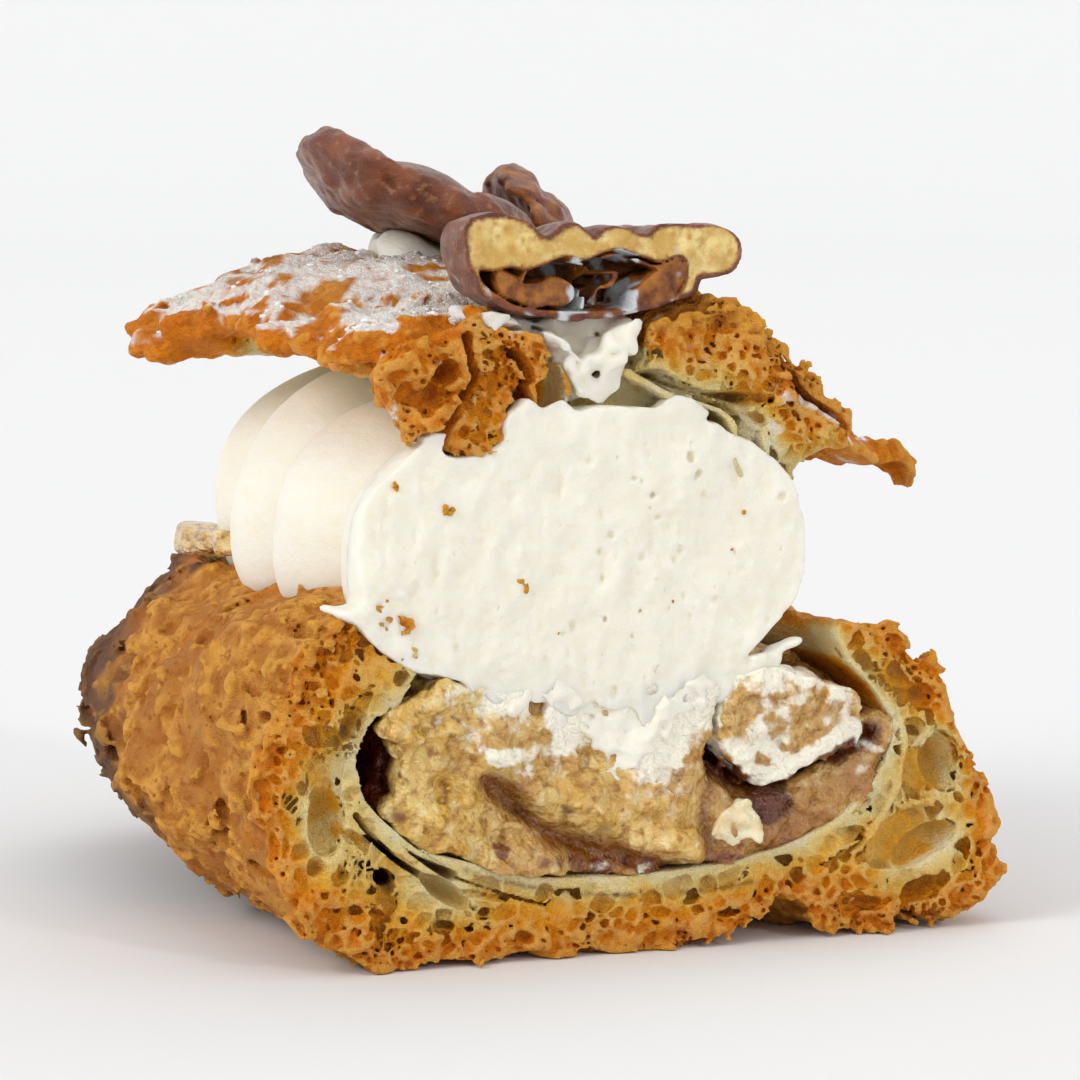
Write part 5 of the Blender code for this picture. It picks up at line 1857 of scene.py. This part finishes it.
# %% The pecan finish
def make_pecan_finish():
    pecan = Finish("pecan", roughness=0.45, subsurface=0.08, reach_mm=(0.8, 0.35, 0.1))
    pecan.set(Specular_IOR_Level=0.35)
    starch, pit = pecan.value("starch"), pecan.group("pits", Depth=0.22, Start=0.0)
    skin = pecan.patchy((0.115, 0.030, 0.014), (0.24, 0.072, 0.028), 1.8, edge=0.2)
    skin = pecan.patchy(skin, (0.34, 0.145, 0.065), 0.5, 0.2)
    # Painted shade: the skin's wrinkles and pits are darkened.
    skin = pecan.tinted(skin, (0.035, 0.010, 0.006), pit, 0.75)
    flesh = pecan.patchy((0.62, 0.37, 0.085), (0.84, 0.66, 0.28), 1.3, 0.55, 0.2)
    flesh = pecan.patchy(flesh, (0.58, 0.33, 0.075), 0.6, 0.3, 0.15)
    amber = pecan.patchy((0.42, 0.15, 0.018), (0.10, 0.020, 0.006), 1.0, edge=0.2)
    # Painted shade: pits in the hollow are darkened further.
    amber = pecan.tinted(amber, (0.02, 0.008, 0.005), pit, 0.8)
    colour = pecan.mix(pecan.value("flesh"), skin, flesh)
    colour = pecan.mix(pecan.value("amber"), colour, amber)
    colour = pecan.mix(starch, colour, (0.56, 0.60, 0.62))
    pecan.set(Base_Color=colour, Roughness=pecan.span(starch, 0.33, 0.8))
    pecan.bump(pecan.group("grain", Size=0.4, Fine_share=0.6), 0.14, 0.9)
    return pecan.material


PECAN = make_pecan_finish()

block, field, outline, hollow = make_cut_pecan()
cut_pecan = mesh_from(block, field, "cut_pecan", 52_000)
spots = dress(cut_pecan, block, field, PECAN, "pecan_front")
x, along, z = spots[:, 0], spots[:, 1] - FACE, spots[:, 2]
edge, inner = off_outline(x, z, NUT_OUTLINE), off_outline(x, z, NUT_HOLLOW)
near = 1 - ease((along - 0.45) / 0.3)
in_flesh = ease((-edge - 0.14) / 0.12) * near
paint(cut_pecan, "flesh", in_flesh * ease((inner - 0.05) / 0.15) * ease((z - 39.4) / 0.5))
in_hollow = ease((-edge - 0.2) / 0.2) * (1 - ease((inner - 0.05) / 0.15))
paint(cut_pecan, "amber", in_hollow)
dust = read(block, lumps(block, 1.0, 168) + 0.6 * lumps(block, 0.4, 169), spots)
heaps = np.exp(-(((x + 4.6) / 0.5) ** 2)) + np.exp(-(((x + 1.5) / 0.7) ** 2))
low_edge = ease((39.2 - z) / 0.8) * near
paint(cut_pecan, "starch", ease((dust + 2.4 * heaps * in_hollow + 0.9 * low_edge - 2.1) / 0.7))

for node, seed, most_faces in (("pecan_tipped", 171, 24_000), ("pecan_leaning", 181, 16_000)):
    block, field = make_whole_pecan(node, seed)
    nut = mesh_from(block, field, node + "_nut", most_faces)
    spots = dress(nut, block, field, PECAN, node)
    paint(nut, "flesh", 0)
    tan_rim = 0
    if node == "pecan_leaning":
        tan_rim = 0.75 * ease((read(block, blurred(field, 0.5, block.step), spots) - 0.05) / 0.12)
    paint(nut, "amber", tan_rim)
    paint(nut, "starch", 0)

# %% [markdown]
# ## Crumbs, sugar and a bit of nut
# Small loose things are real bodies of their true size, gathered into one piece for each kind. Each
# crumb is a ball whose points are pushed about, half sunk in what it lies on.


# %% Many small rough balls in one mesh
def scatter(name, places, radii, seed, flat=1.0, divisions=2):
    """One object of rough little bodies, one at each place in mm."""
    rng = np.random.default_rng(seed)
    seedling = bmesh.new()
    bmesh.ops.create_icosphere(seedling, subdivisions=divisions, radius=1.0)
    ball_points = np.array([v.co[:] for v in seedling.verts])
    ball_faces = np.array([[v.index for v in f.verts] for f in seedling.faces])
    seedling.free()
    points, faces = [], []
    for place, radius in zip(places, radii):
        rough = 1 + 0.28 * rng.uniform(-1, 1, (len(ball_points), 1))
        stretch = rng.uniform(0.7, 1.25, 3) * (1, 1, flat)
        faces.append(ball_faces + len(points) * len(ball_points))
        points.append(place + ball_points * rough * stretch * radius)
    mesh = bpy.data.meshes.new(name)
    mesh.from_pydata((np.concatenate(points) * MM).tolist(), [], np.concatenate(faces).tolist())
    mesh.shade_smooth()
    print(name, len(places), "bodies,", len(mesh.polygons), "triangles")
    return new_object(name, mesh)


# %% Crumbs that the knife carried onto the cream
CREAM_CRUMBS = (
    (-12.9, 27.1, 0.36), (-8.3, 22.5, 0.42), (-16.2, 28.6, 0.24), (6.1, 26.4, 0.15), (5.3, 24.2, 0.13),
    (-6.0, 19.6, 0.12), (1.4, 21.2, 0.11), (-1.7, 25.7, 0.1),
)


def make_cream_crumbs():
    rng = np.random.default_rng(201)
    places, radii = [], []
    for x, z, radius in CREAM_CRUMBS:
        clustered = radius > 0.2
        for _ in range(5 if clustered else 1):
            off = rng.uniform(-0.8, 0.8, 3) * radius * clustered
            places.append(np.array((x, FACE + 0.05, z)) + off * (1, 0.3, 1))
            radii.append(radius * rng.uniform(0.45, 0.7) if clustered else radius)
    return scatter("cream_crumbs", places, radii, 202)


def dress_crumbs(obj):
    """Half baked crumb all through, not darkened, with no painted shade and no sugar."""
    for name in ("crust", "darkened_and_shade", "hollow_shade", "sugar"):
        paint(obj, name, 0)
    paint(obj, "bake_and_glow", 0.5)
    paint(obj, "proud", 0.05)
    obj.data.materials.append(CHOUX)
    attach(obj, BODY)


dress_crumbs(make_cream_crumbs())


# %% Clumps of sugar on the lid
def make_sugar_finish():
    sugar = Finish("icing_sugar", roughness=0.85, subsurface=0.3, reach_mm=(0.3, 0.3, 0.3))
    sugar.set(Base_Color=sugar.patchy((0.92, 0.91, 0.90), (0.97, 0.965, 0.96), 0.3, edge=0.2))
    sugar.bump(sugar.group("grain", Size=0.15, Fine_share=0.5), 0.05, 0.7)
    return sugar.material


SUGAR_CLUMPS = 900


def make_sugar():
    rng = np.random.default_rng(211)
    tops = np.concatenate(list(LID_TOP.values()))
    chosen = tops[rng.choice(len(tops), min(SUGAR_CLUMPS, len(tops)), replace=False)]
    radii = 0.08 + 0.2 * rng.random(len(chosen)) ** 3
    clumps = scatter("sugar_clumps", chosen, radii, 212, flat=0.6, divisions=1)
    clumps.data.materials.append(make_sugar_finish())
    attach(clumps, BODY)


make_sugar()

# %% A bit of pale nut in the compote
NUT_BIT = (
    (3.9, 6.5), (4.2, 7.4), (4.8, 8.3), (5.5, 9.1), (6.4, 8.8), (7.2, 8.2), (8.0, 7.4), (7.2, 6.8),
    (6.0, 6.6), (4.6, 6.3),
)


def make_pale_nut_finish():
    nut = Finish("pale_nut", roughness=0.4, subsurface=0.2, reach_mm=(0.8, 0.5, 0.25))
    colour = nut.patchy((0.90, 0.82, 0.60), (0.80, 0.64, 0.34), 0.9, 0.5, 0.15)
    # Painted shade: the pits are darker.
    colour = nut.mix(nut.group("pits", Depth=0.15), colour, (0.60, 0.40, 0.15))
    nut.set(Base_Color=colour)
    nut.bump(nut.group("grain", Size=0.5, Fine_share=0.5), 0.2)
    return nut.material


def make_nut_bit():
    block = Block((3, FACE - 1.2, 5.4), (9, FACE + 2.5, 10), 0.13)
    chunk = extruded(block, NUT_BIT, -1.0, 1.6, 0.8) + 0.2 * lumps(block, 1.0, 221)
    chunk = chunk + 0.15 * lumps(block, 0.45, 222)
    relief = -0.3 + 0.25 * lumps(block, 1.0, 223) + 0.14 * lumps(block, 0.4, 224)
    field = cut_at_face(block, chunk, relief)
    dress(mesh_from(block, field, "nut_bit", 9_000), block, field, make_pale_nut_finish(), None)


make_nut_bit()

# %% [markdown]
# ## The size of the dressed eclair
# Both boxes, of the imported solids and of the dressed eclair, are printed. The dressed eclair
# has to stay the size of the imported solids.

# %% Print the boxes
boxes = [[list(corner) for corner in box] for box in (cad_box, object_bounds())]
print("cad box", boxes[0], "visual box", boxes[1])
